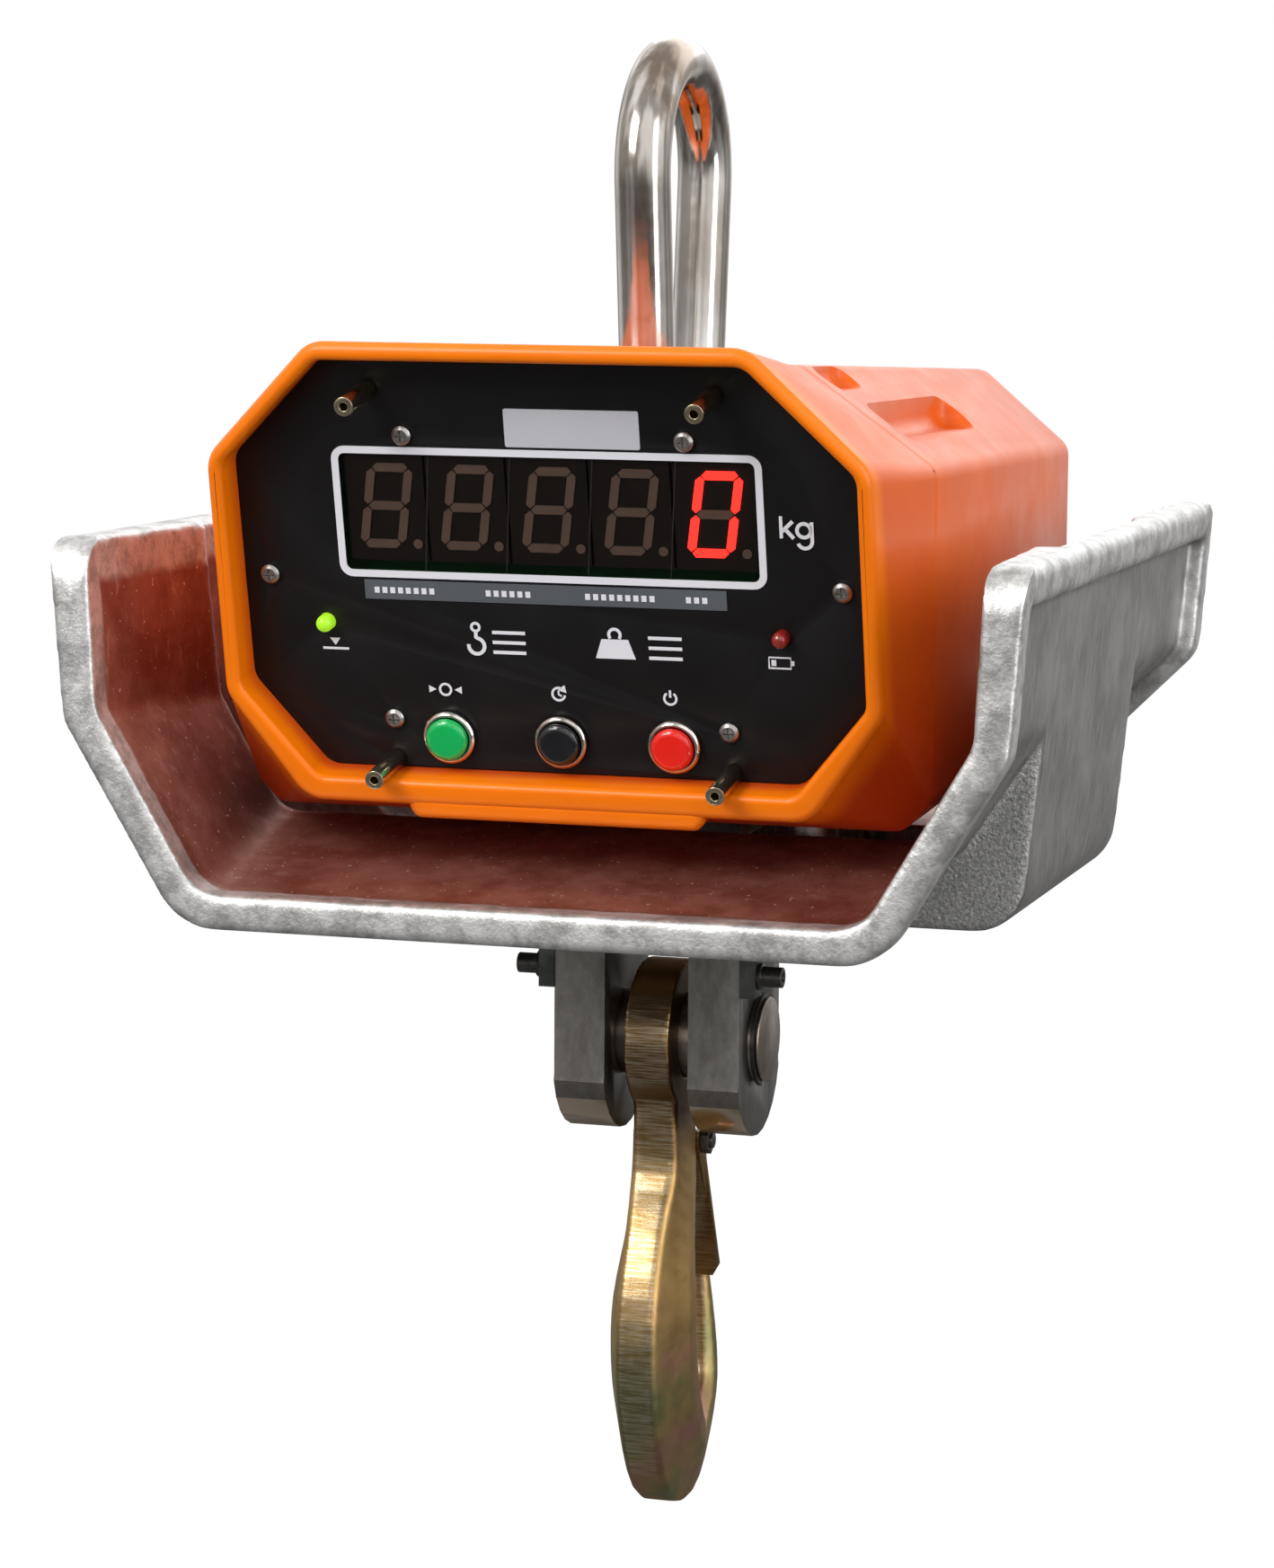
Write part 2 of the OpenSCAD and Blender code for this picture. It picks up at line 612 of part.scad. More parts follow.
module shackle_nut() {
    color("silver") translate([0, 35.1, shackle_pin_z]) rotate([-90, 0, 0]) difference() {
        cylinder(h = 8, d = 34, $fn = 6);
        translate([0, 0, -1]) cylinder(h = 10, d = shackle_pin_d + 0.4, $fn = 96);
    }
}
module pin_spacers() {
    color("#5d6063") for (s = [-1, 1]) translate([0, s * (cell_half_d + 0.8), shackle_pin_z]) difference() {
        bar_y(-0.55, 0.55, 30);
        bar_y(-2, 2, shackle_pin_d + 0.6);
    }
}
// S shaped load cell: two slots from opposite sides leave a bending web
module load_cell() {
    color("#c9ccd0") difference() {
        box(-29, 29, -cell_half_d, cell_half_d, -228, -88);
        translate([0, 0, shackle_pin_z]) bar_y(-30, 30, shackle_pin_d + 2 * run_fit);
        box(-18, 40, -30, 30, -145, -141);
        box(-40, 18, -30, 30, -184, -180);
        for (z = [-143, -182]) translate([z == -143 ? -18 : 18, 0, z]) bar_y(-30, 30, 8);
        translate([0, 0, -162.5]) bar_y(-30, -7, 22);
        translate([0, 0, -162.5]) bar_y(7, 30, 22);
        translate([0, 0, -229]) cylinder(h = 30, d = 24.1, $fn = 96);
    }
}
// Signal lead from the load cell's side to the main board
lead_route = [[-29.5, -6, -166], [-34, -6, -166], [-40, -8, -168], [-46, -12, -171], [-52, -17, -173],
              [-58, -22, -172], [-62.5, -26, -166], [-64.6, -29, -157], [-65.6, -29.8, -151.8],
              [-67.4, -30, -150], [-69.6, -30, -150]];
lead_d = 4.5;
function tangent(r, i) = unit(r[min(i + 1, len(r) - 1)] - r[max(i - 1, 0)]);
// Round tube along a route that never runs along the direction aside
module tube(route, d, aside, n = 8) {
    m = len(route);
    pts = [for (i = [0:m - 1]) let (t = tangent(route, i), a = unit(cross(t, aside)), b = cross(t, a))
        each [for (k = [0:n - 1]) route[i] + d / 2 * (cos(360 * k / n) * a + sin(360 * k / n) * b)]];
    sides = [for (i = [0:m - 2], k = [0:n - 1])
        [(i + 1) * n + k, (i + 1) * n + (k + 1) % n, i * n + (k + 1) % n, i * n + k]];
    polyhedron(points = pts,
        faces = concat(sides, [[for (k = [0:n - 1]) k]], [[for (k = [n - 1:-1:0]) (m - 1) * n + k]]));
}
module load_cell_lead() {
    color("#222222") tube(lead_route, lead_d, [0, 0, 1]);
}
module clevis() {
    half_slot = clevis_slot / 2;
    outline = concat([[-23.5, -241], [-23.5, -305]],
        [for (i = [0:10]) let (a = 196 + 148 * i / 10) [25 * cos(a), -300.2 + 25 * sin(a)]],
        [[23.5, -305], [23.5, -241]]);
    color("#8f8a84") difference() {
        union() {
            along_x(-half_slot - ear_t, half_slot + ear_t) polygon(outline);
            translate([0, 0, -241.5]) cylinder(h = 42, d = 24, $fn = 96);
        }
        box(-half_slot, half_slot, -40, 40, -340, -257);
        translate([0, 0, hook_pin_z]) bar_x(-40, 40, hook_pin_d + 0.1);
        for (s = [0, 1]) mirror([s, 0, 0]) translate([0, -19.5, bracket_screw_z]) bar_x(ear_x - 4, ear_x + 1, 4.4);
    }
}
module clevis_nut() {
    color("silver") translate([0, 0, -240.6]) difference() {
        cylinder(h = 12, d = 41, $fn = 6);
        translate([0, 0, -1]) cylinder(h = 14, d = 24.4, $fn = 96);
    }
}
module hook_pin() {
    color("#a39b93") translate([0, 0, hook_pin_z]) difference() {
        bar_x(-31.5, 33.4, hook_pin_d);
        difference() {
            bar_x(31, 32.4, hook_pin_d + 4);
            bar_x(30, 33, hook_pin_d - 3);
        }
    }
}
module hook_pin_ring() {
    color("#2f2f2f") translate([0, 0, hook_pin_z]) difference() {
        bar_x(31.1, 32.3, hook_pin_d + 3);
        bar_x(30, 34, hook_pin_d - 2.9);
        box(20, 40, -4, 4, -30, 0);
    }
}

// Hook body as a chain of sections along its curved middle line. Each row holds y, z of
// the middle below the pin, depth across the curve, width at the outside and at the inside
hook_line = [[0, -14, 30, 14, 14], [-1, -30, 27, 14.4, 14.4], [-4, -46, 23, 15, 18], [-12, -64, 25, 13, 22],
             [-18, -82, 28, 13, 26], [-19, -99, 29, 13, 27], [-15, -117, 30, 13, 27], [-4, -134, 31, 13, 26],
             [10, -139, 28, 13, 23], [23.5, -132, 24, 12, 20], [32.5, -119, 18, 11, 18], [34, -102, 14, 10, 15],
             [32.5, -82, 8, 8, 10]];
function spline(p, i, t) = let (n = len(p) - 1, a = p[max(i - 1, 0)], b = p[i], c = p[min(i + 1, n)],
    d = p[min(i + 2, n)])
    0.5 * (2 * b + (c - a) * t + (2 * a - 5 * b + 4 * c - d) * t * t + (3 * b - a - 3 * c + d) * t * t * t);
hook_steps = 3;
hook_path = concat([for (i = [0:len(hook_line) - 2], k = [0:hook_steps - 1])
    spline(hook_line, i, k / hook_steps)], [hook_line[len(hook_line) - 1]]);
// Section corners: s runs across the curve from outside to inside, x is the half width
function hook_section(row) = let (d = row[2] / 2, o = row[3] / 2, w = row[4] / 2)
    [[o * 0.75, -d], [o, -d + 1.2], [w, d * 0.25], [w, d * 0.7], [w * 0.7, d], [-w * 0.7, d], [-w, d * 0.7],
     [-w, d * 0.25], [-o, -d + 1.2], [-o * 0.75, -d]];
function hook_ring(i) = let (p = hook_path[i], q = hook_path[min(i + 1, len(hook_path) - 1)],
    o = hook_path[max(i - 1, 0)], t = unit([q[0] - o[0], q[1] - o[1]]), side = [-t[1], t[0]])
    [for (c = hook_section(p)) [c[0], p[0] + side[0] * c[1], p[1] + side[1] * c[1] + hook_pin_z]];
module hook_body() {
    n = 10;
    m = len(hook_path);
    pts = [for (i = [0:m - 1]) each hook_ring(i)];
    sides = [for (i = [0:m - 2], k = [0:n - 1])
        [i * n + k, i * n + (k + 1) % n, (i + 1) * n + (k + 1) % n, (i + 1) * n + k]];
    polyhedron(points = pts,
        faces = concat(sides, [[for (k = [n - 1:-1:0]) k]], [[for (k = [0:n - 1]) (m - 1) * n + k]]));
}
module hook() {
    color("darkgoldenrod") difference() {
        union() {
            translate([0, 0, hook_pin_z]) bar_x(-eye_t / 2, eye_t / 2, 48);
            hook_body();
            // Lug that carries the latch bolt
            along_x(-3.5, 3.5) polygon([[4, -326], [15, -326], [19, -329], [19, -334], [13, -341], [0, -343]]);
        }
        translate([0, 0, hook_pin_z]) bar_x(-20, 20, hook_pin_d + 0.1);
        translate([0, latch_y, latch_z]) bar_x(-20, 20, 5.1);
    }
}
// Latch: two cheeks on the bolt and a blade that widens towards the hook's tip
module latch() {
    drop = 41;
    lean = atan(9.4 / 46);
    color("#b79a4a") {
        for (s = [0, 1]) mirror([s, 0, 0]) difference() {
            along_x(6, 7.5) polygon([[10.8, -328], [17.5, -328], [19.8, -337], [22.6, -352], [20.8, -352],
                                     [12, -336]]);
            translate([0, latch_y, latch_z]) bar_x(-20, 20, 5.1);
        }
        translate([0, latch_y + 4.5, latch_z - 7]) rotate([90 + lean, 0, 0]) translate([0, 0, -0.8])
            linear_extrude(1.5) polygon([[-7.5, 0], [7.5, 0], [10.3, -drop + 4], [8, -drop], [-8, -drop],
                                         [-10.3, -drop + 4]]);
    }
}
module latch_bolt() {
    color("#3a3a3a") translate([0, latch_y, latch_z]) {
        bar_x(-9.5, 11.5, 5);
        bar_x(-10.6, -7.8, 8);
    }
}
module latch_nut() {
    color("#3a3a3a") translate([7.8, latch_y, latch_z]) rotate([0, 90, 0]) difference() {
        cylinder(h = 2.8, d = 9, $fn = 6);
        translate([0, 0, -1]) cylinder(h = 6, d = 5.2, $fn = 64);
    }
}
// Torsion springs on the bolt each side of the lug, with a leg against the blade
module latch_spring() {
    wire = 0.7;
    turn_r = 3;
    coil = [for (i = [0:18]) [4.05 + 1.4 * i / 18, turn_r * cos(540 - 30 * i), turn_r * sin(540 - 30 * i)]];
    color("#777777") for (s = [0, 1]) mirror([s, 0, 0]) translate([0, latch_y, latch_z])
        tube(concat(coil, [[5.45, turn_r, -6.8]]), wire, [1, 0, 0]);
}

front_housing();
housing_gasket();
rear_housing();
battery_cover();
battery_cover_screws();
pocket_screws();
front_panel();
panel_screws();
window_frame();
display_lens();
for (i = [0:4]) digit_module(i);
unlit_segments();
lit_segments();
display_board();
board_pillars();
standoff_nuts();
rating_strip();
maker_plate();
button_cap(-1, "limegreen");  // zero_button
button_cap(0, "#1d1d20");  // recall_button
button_cap(1, "red");  // power_button
for (i = [0:2]) button_holder(i - 1);
led(led_spots[0], "yellowgreen");  // stable_led
led(led_spots[1], "darkred");  // battery_led
standoffs();
guard();
guard_bolts();
guard_nuts();
guard_spacers();
guard_brackets();
bracket_screws();
shackle();
shackle_pin();
shackle_nut();
pin_spacers();
load_cell();
load_cell_lead();
main_board();
board_posts();
battery();
battery_tray();
charge_socket();
clevis();
clevis_nut();
hook_pin();
hook_pin_ring();
hook();
latch();
latch_bolt();
latch_nut();
latch_spring();
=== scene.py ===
# Looks for the hanging crane scale: smooth shells, cast and plated metals, printed face, camera and light.
import json
import math

import bmesh
import bpy
from mathutils import Matrix, Vector

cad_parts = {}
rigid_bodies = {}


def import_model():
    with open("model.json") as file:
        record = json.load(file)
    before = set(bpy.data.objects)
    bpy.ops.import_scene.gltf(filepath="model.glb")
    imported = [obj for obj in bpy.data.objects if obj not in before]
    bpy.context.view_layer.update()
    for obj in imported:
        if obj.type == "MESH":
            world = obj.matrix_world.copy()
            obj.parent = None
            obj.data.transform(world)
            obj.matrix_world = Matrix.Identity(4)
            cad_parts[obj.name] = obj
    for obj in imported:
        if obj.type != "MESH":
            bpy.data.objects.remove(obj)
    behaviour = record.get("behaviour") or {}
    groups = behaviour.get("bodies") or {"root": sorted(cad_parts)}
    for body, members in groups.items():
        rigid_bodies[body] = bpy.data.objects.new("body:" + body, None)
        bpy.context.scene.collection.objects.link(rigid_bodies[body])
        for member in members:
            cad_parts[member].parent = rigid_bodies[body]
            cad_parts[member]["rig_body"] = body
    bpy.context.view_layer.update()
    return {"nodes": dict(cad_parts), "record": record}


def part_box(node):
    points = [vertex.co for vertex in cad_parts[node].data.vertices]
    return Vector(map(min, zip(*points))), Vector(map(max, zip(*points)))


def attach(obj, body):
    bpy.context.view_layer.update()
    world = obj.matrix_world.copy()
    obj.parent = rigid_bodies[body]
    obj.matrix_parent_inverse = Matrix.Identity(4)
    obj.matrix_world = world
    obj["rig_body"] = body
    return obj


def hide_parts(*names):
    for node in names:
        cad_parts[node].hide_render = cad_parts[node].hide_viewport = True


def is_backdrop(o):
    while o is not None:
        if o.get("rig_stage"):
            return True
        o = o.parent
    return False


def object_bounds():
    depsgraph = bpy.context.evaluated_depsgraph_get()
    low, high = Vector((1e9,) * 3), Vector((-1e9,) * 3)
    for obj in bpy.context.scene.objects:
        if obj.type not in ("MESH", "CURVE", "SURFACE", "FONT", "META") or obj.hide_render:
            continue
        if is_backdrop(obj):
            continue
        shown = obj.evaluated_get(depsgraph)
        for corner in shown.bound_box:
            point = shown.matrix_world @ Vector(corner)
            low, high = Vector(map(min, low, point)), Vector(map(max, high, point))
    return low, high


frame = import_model()
NODES = frame["nodes"]
RECORD = frame["record"]
MM = 0.001

# Display face: its origin, and the directions right, up the face and out of it
TILT = math.radians(12.7)
FACE_ORIGIN = Vector((0, -0.118, -0.149))
FACE_U = Vector((1, 0, 0))
FACE_V = Vector((0, -math.sin(TILT), math.cos(TILT)))
FACE_W = Vector((0, -math.cos(TILT), -math.sin(TILT)))

# Housing sections in mm, as half outlines from the bottom corner to the top corner
RIM_RISE = 12.0
PANEL_T = 2.6
SPLIT_Y = -85.0
BACK_Y = 130.0
BEZEL = [(76.5, -59), (99.2, -26.8), (98.6, 44.8), (64.5, 79.2)]
RECESS = [(72.2, -51.2), (94, -24.5), (94, 43), (63, 74)]
SPLIT_SECTION = [(96, -214), (104, -206), (104, -109.4), (63.5, -80.3)]
BACK_SECTION = [(84, -214), (100, -198), (100, -113), (71, -88)]


# ---------------------------------------------------------------- shapes
def face_point(u, v, w):
    """A point of the display face's own frame, in mm, as a place in metres."""
    return FACE_ORIGIN + (FACE_U * u + FACE_V * v + FACE_W * w) * MM


def section_point(x, z, y):
    """A point of an upright section of the housing, in mm, as a place in metres."""
    return Vector((x, y, z)) * MM


def mirrored(right):
    """The whole outline from its right half."""
    return right + [(-x, y) for x, y in reversed(right)]


def inset(points, d):
    """The closed outline with every edge moved inwards by d."""
    n = len(points)
    following = points[1:] + points[:1]
    area = sum(a[0] * b[1] - b[0] * a[1] for a, b in zip(points, following))
    side = 1 if area > 0 else -1
    lines = []
    for i in range(n):
        a, b = Vector(points[i]), Vector(points[(i + 1) % n])
        t = (b - a).normalized()
        normal = Vector((-t.y, t.x)) * side
        lines.append((a + normal * d, t))
    result = []
    for i in range(n):
        (p, s), (q, t) = lines[i - 1], lines[i]
        cross = s.x * t.y - s.y * t.x
        k = ((q - p).x * t.y - (q - p).y * t.x) / cross
        result.append(tuple(p + s * k))
    return result


def rounded(points, radius, steps=8):
    """The outline with each corner turned into an arc of steps + 1 points."""
    n = len(points)
    result = []
    for i in range(n):
        a, b, c = (Vector(points[(i + k - 1) % n]) for k in range(3))
        p, q = (a - b).normalized(), (c - b).normalized()
        half = p.angle(q) / 2
        centre = b + (p + q).normalized() * radius / math.sin(half)
        s, e = b + p * radius / math.tan(half), b + q * radius / math.tan(half)
        a0 = math.atan2(s.y - centre.y, s.x - centre.x)
        sweep = math.atan2(e.y - centre.y, e.x - centre.x) - a0
        sweep = (sweep + math.pi) % (2 * math.pi) - math.pi
        for k in range(steps + 1):
            angle = a0 + sweep * k / steps
            result.append((centre.x + radius * math.cos(angle), centre.y + radius * math.sin(angle)))
    return result


def link_object(name, data):
    made = bpy.data.objects.new(name, data)
    bpy.context.scene.collection.objects.link(made)
    return made


def add_mesh(name, verts, faces, smooth_angle=35):
    mesh = bpy.data.meshes.new(name)
    mesh.from_pydata([tuple(v) for v in verts], [], faces)
    mesh.validate()
    piece = link_object(name, mesh)
    tidy_normals(piece)
    shade(piece, smooth_angle)
    return piece


def tidy_normals(piece):
    """Merge doubled points and turn every face outwards."""
    bm = bmesh.new()
    bm.from_mesh(piece.data)
    bmesh.ops.remove_doubles(bm, verts=bm.verts, dist=1e-6)
    bmesh.ops.recalc_face_normals(bm, faces=bm.faces)
    bm.to_mesh(piece.data)
    bm.free()


def shade(piece, degrees=35):
    """Smooth shading with sharp edges where faces meet at more than the angle."""
    piece.data.shade_smooth()
    piece.data.set_sharp_from_angle(angle=math.radians(degrees))


def loft(name, rings, ring_closed=False, smooth_angle=35):
    """Skin over rings of points, with n-gon caps or joined end to end."""
    n = len(rings[0])
    verts = [p for ring in rings for p in ring]
    last = len(rings) if ring_closed else len(rings) - 1
    faces = []
    for i in range(last):
        a, b = i * n, ((i + 1) % len(rings)) * n
        faces += [(a + k, a + (k + 1) % n, b + (k + 1) % n, b + k) for k in range(n)]
    if not ring_closed:
        faces.append(tuple(range(n)))
        faces.append(tuple(range((len(rings) - 1) * n, len(rings) * n)))
    return add_mesh(name, verts, faces, smooth_angle)


def box_mesh(name, low, high):
    """A box between two corners in mm."""
    bm = bmesh.new()
    bmesh.ops.create_cube(bm, size=1)
    size = Vector(high) - Vector(low)
    middle = (Vector(high) + Vector(low)) / 2
    for v in bm.verts:
        v.co = Vector((v.co.x * size.x, v.co.y * size.y, v.co.z * size.z)) + middle
        v.co *= MM
    mesh = bpy.data.meshes.new(name)
    bm.to_mesh(mesh)
    bm.free()
    return link_object(name, mesh)


def apply_modifiers(piece):
    depsgraph = bpy.context.evaluated_depsgraph_get()
    mesh = bpy.data.meshes.new_from_object(piece.evaluated_get(depsgraph))
    piece.modifiers.clear()
    piece.data = mesh


def cut(piece, tool):
    """Take the tool's shape out of the piece."""
    modifier = piece.modifiers.new("cut", "BOOLEAN")
    modifier.operation = "DIFFERENCE"
    modifier.solver = "EXACT"
    modifier.object = tool
    apply_modifiers(piece)
    bpy.data.objects.remove(tool)


def join(pieces, name):
    """One object from several."""
    bm = bmesh.new()
    for piece in pieces:
        bm.from_mesh(piece.data)
    mesh = bpy.data.meshes.new(name)
    bm.to_mesh(mesh)
    bm.free()
    for piece in pieces:
        bpy.data.objects.remove(piece)
    return link_object(name, mesh)


def copy_node(node, name):
    """A free copy of a CAD node's mesh, with flat regions merged back into whole faces."""
    mesh = NODES[node].data.copy()
    mesh.materials.clear()
    piece = link_object(name, mesh)
    bm = bmesh.new()
    bm.from_mesh(mesh)
    bmesh.ops.remove_doubles(bm, verts=bm.verts, dist=1e-6)
    bmesh.ops.dissolve_limit(bm, angle_limit=math.radians(0.6), verts=bm.verts, edges=bm.edges)
    bm.to_mesh(mesh)
    bm.free()
    return piece


def bevel(piece, width_mm, segments=2, angle=35):
    """Round the edges that are sharper than the angle."""
    modifier = piece.modifiers.new("edge", "BEVEL")
    modifier.width = width_mm * MM
    modifier.segments = segments
    modifier.limit_method = "ANGLE"
    modifier.angle_limit = math.radians(angle)
    modifier.harden_normals = False
    apply_modifiers(piece)
    shade(piece, 50)


def melt(piece, voxel_mm, rounds, triangles):
    """Remesh and relax, so that every edge is as soft as a casting's or a forging's."""
    modifier = piece.modifiers.new("grid", "REMESH")
    modifier.mode = "VOXEL"
    modifier.voxel_size = voxel_mm * MM
    apply_modifiers(piece)
    modifier = piece.modifiers.new("relax", "SMOOTH")
    modifier.factor = 0.6
    modifier.iterations = rounds
    modifier = piece.modifiers.new("thin", "DECIMATE")
    modifier.ratio = min(1, triangles / max(1, 2 * len(piece.data.polygons)))
    apply_modifiers(piece)
    piece.data.shade_smooth()


def finish_piece(piece, node, material, smooth=None):
    """Put a made piece in its node's place."""
    piece.data.materials.clear()
    piece.data.materials.append(material)
    for polygon in piece.data.polygons:
        polygon.material_index = 0
    if smooth:
        shade(piece, smooth)
    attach(piece, NODES[node]["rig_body"])
    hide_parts(node)


# ---------------------------------------------------------------- materials
def fill_ramp(node, stops):
    """Set a colour ramp from (position, colour) stops. A number stands for a grey."""
    elements = node.color_ramp.elements
    while len(elements) < len(stops):
        elements.new(0.5)
    for element, (position, colour) in zip(elements, stops):
        element.position = position
        element.color = (*colour, 1) if isinstance(colour, tuple) else (colour, colour, colour, 1)


class Shader:
    """A small helper that builds one node material."""

    def __init__(self, name):
        self.material = bpy.data.materials.new(name)
        self.material.use_nodes = True
        self.tree = self.material.node_tree
        self.bsdf = self.tree.nodes["Principled BSDF"]
        self.output = self.tree.nodes["Material Output"]
        self.place = self.node("ShaderNodeTexCoord").outputs["Object"]

    def node(self, kind, **settings):
        made = self.tree.nodes.new(kind)
        for key, value in settings.items():
            setattr(made, key, value)
        return made

    def link(self, a, b):
        self.tree.links.new(a, b)

    def assign(self, socket, value):
        """Link an output to the socket, or set it to a number or a colour."""
        if hasattr(value, "is_linked"):
            self.link(value, socket)
        elif isinstance(value, tuple) and len(value) == 3:
            socket.default_value = (*value, 1)
        else:
            socket.default_value = value

    def set(self, **values):
        """Fill the Principled shader's sockets."""
        for key, value in values.items():
            self.assign(self.bsdf.inputs[key.replace("_", " ")], value)

    def noise(self, scale, detail=3, roughness=0.55, stretch=None):
        source = self.place
        if stretch:
            mapping = self.node("ShaderNodeMapping")
            mapping.inputs["Scale"].default_value = stretch
            self.link(source, mapping.inputs["Vector"])
            source = mapping.outputs["Vector"]
        texture = self.node("ShaderNodeTexNoise")
        texture.inputs["Scale"].default_value = scale
        texture.inputs["Detail"].default_value = detail
        texture.inputs["Roughness"].default_value = roughness
        self.link(source, texture.inputs["Vector"])
        return texture.outputs["Fac"]

    def ramp(self, factor, *stops):
        """Colour ramp with (position, colour) stops."""
        made = self.node("ShaderNodeValToRGB")
        fill_ramp(made, stops)
        self.link(factor, made.inputs["Fac"])
        return made.outputs["Color"]

    def math(self, operation, a, b=None):
        made = self.node("ShaderNodeMath", operation=operation)
        for socket, value in zip(made.inputs, (a, b)):
            if value is not None:
                self.assign(socket, value)
        return made.outputs[0]

    def mix(self, factor, a, b):
        """Colour a where the factor is 0 and b where it is 1."""
        made = self.node("ShaderNodeMix", data_type="RGBA")
        self.assign(made.inputs["Factor"], factor)
        self.assign(made.inputs[6], a)
        self.assign(made.inputs[7], b)
        return made.outputs[2]

    def times(self, a, b):
        return self.math("MULTIPLY", a, b)

    def plus(self, a, b):
        return self.math("ADD", a, b)

    def bump(self, height, strength, distance_mm, below=None):
        made = self.node("ShaderNodeBump")
        made.inputs["Strength"].default_value = strength
        made.inputs["Distance"].default_value = distance_mm * MM
        self.link(height, made.inputs["Height"])
        if below:
            self.link(below, made.inputs["Normal"])
        self.link(made.outputs["Normal"], self.bsdf.inputs["Normal"])
        return made.outputs["Normal"]

    def split(self, vector):
        """The x, y and z outputs of a vector."""
        made = self.node("ShaderNodeSeparateXYZ")
        self.link(vector, made.inputs[0])
        return made.outputs

    def facing(self):
        """The x, y and z of the surface's true normal."""
        return self.split(self.node("ShaderNodeNewGeometry").outputs["True Normal"])

    def step(self, value, low, high):
        """0 below low and 1 above high, smooth between."""
        made = self.node("ShaderNodeMapRange", interpolation_type="SMOOTHSTEP")
        made.inputs["From Min"].default_value = low
        made.inputs["From Max"].default_value = high
        self.link(value, made.inputs["Value"])
        return made.outputs["Result"]


def moulded(name, colour, deep, roughness, coat, grain, gloss=0.5):
    """Plastic, paint or print, with a fine grain and slightly uneven colour."""
    s = Shader(name)
    tone = s.ramp(s.noise(28, 4), (0.3, deep), (0.75, colour))
    s.set(Base_Color=tone, Coat_Weight=coat, Coat_Roughness=0.2, IOR=1.5, Specular_IOR_Level=gloss)
    s.set(Roughness=s.ramp(s.noise(60, 3), (0.3, roughness - 0.06), (0.8, roughness + 0.1)))
    skin = s.bump(s.noise(900, 2), grain, 0.05)
    s.bump(s.noise(35, 2), 0.1, 0.6, skin)
    return s.material


def metal(name, colour, dark, roughness, scale, spots=0.0):
    """Plain metal with a mottled tone, and dark spots where asked for."""
    s = Shader(name)
    pattern = s.noise(scale, 5, 0.6)
    tone = s.ramp(pattern, (0.3, dark), (0.72, colour))
    if spots:
        stain_and_reflection = s.step(s.noise(55, 6, 0.7), 0.56, 0.72)
        tone = s.mix(s.times(stain_and_reflection, spots), tone, tuple(c * 0.35 for c in dark))
    s.set(Base_Color=tone, Metallic=1.0)
    s.set(Roughness=s.ramp(pattern, (0.25, roughness * 1.35), (0.75, roughness * 0.8)))
    s.bump(pattern, 0.1, 0.12)
    return s.material


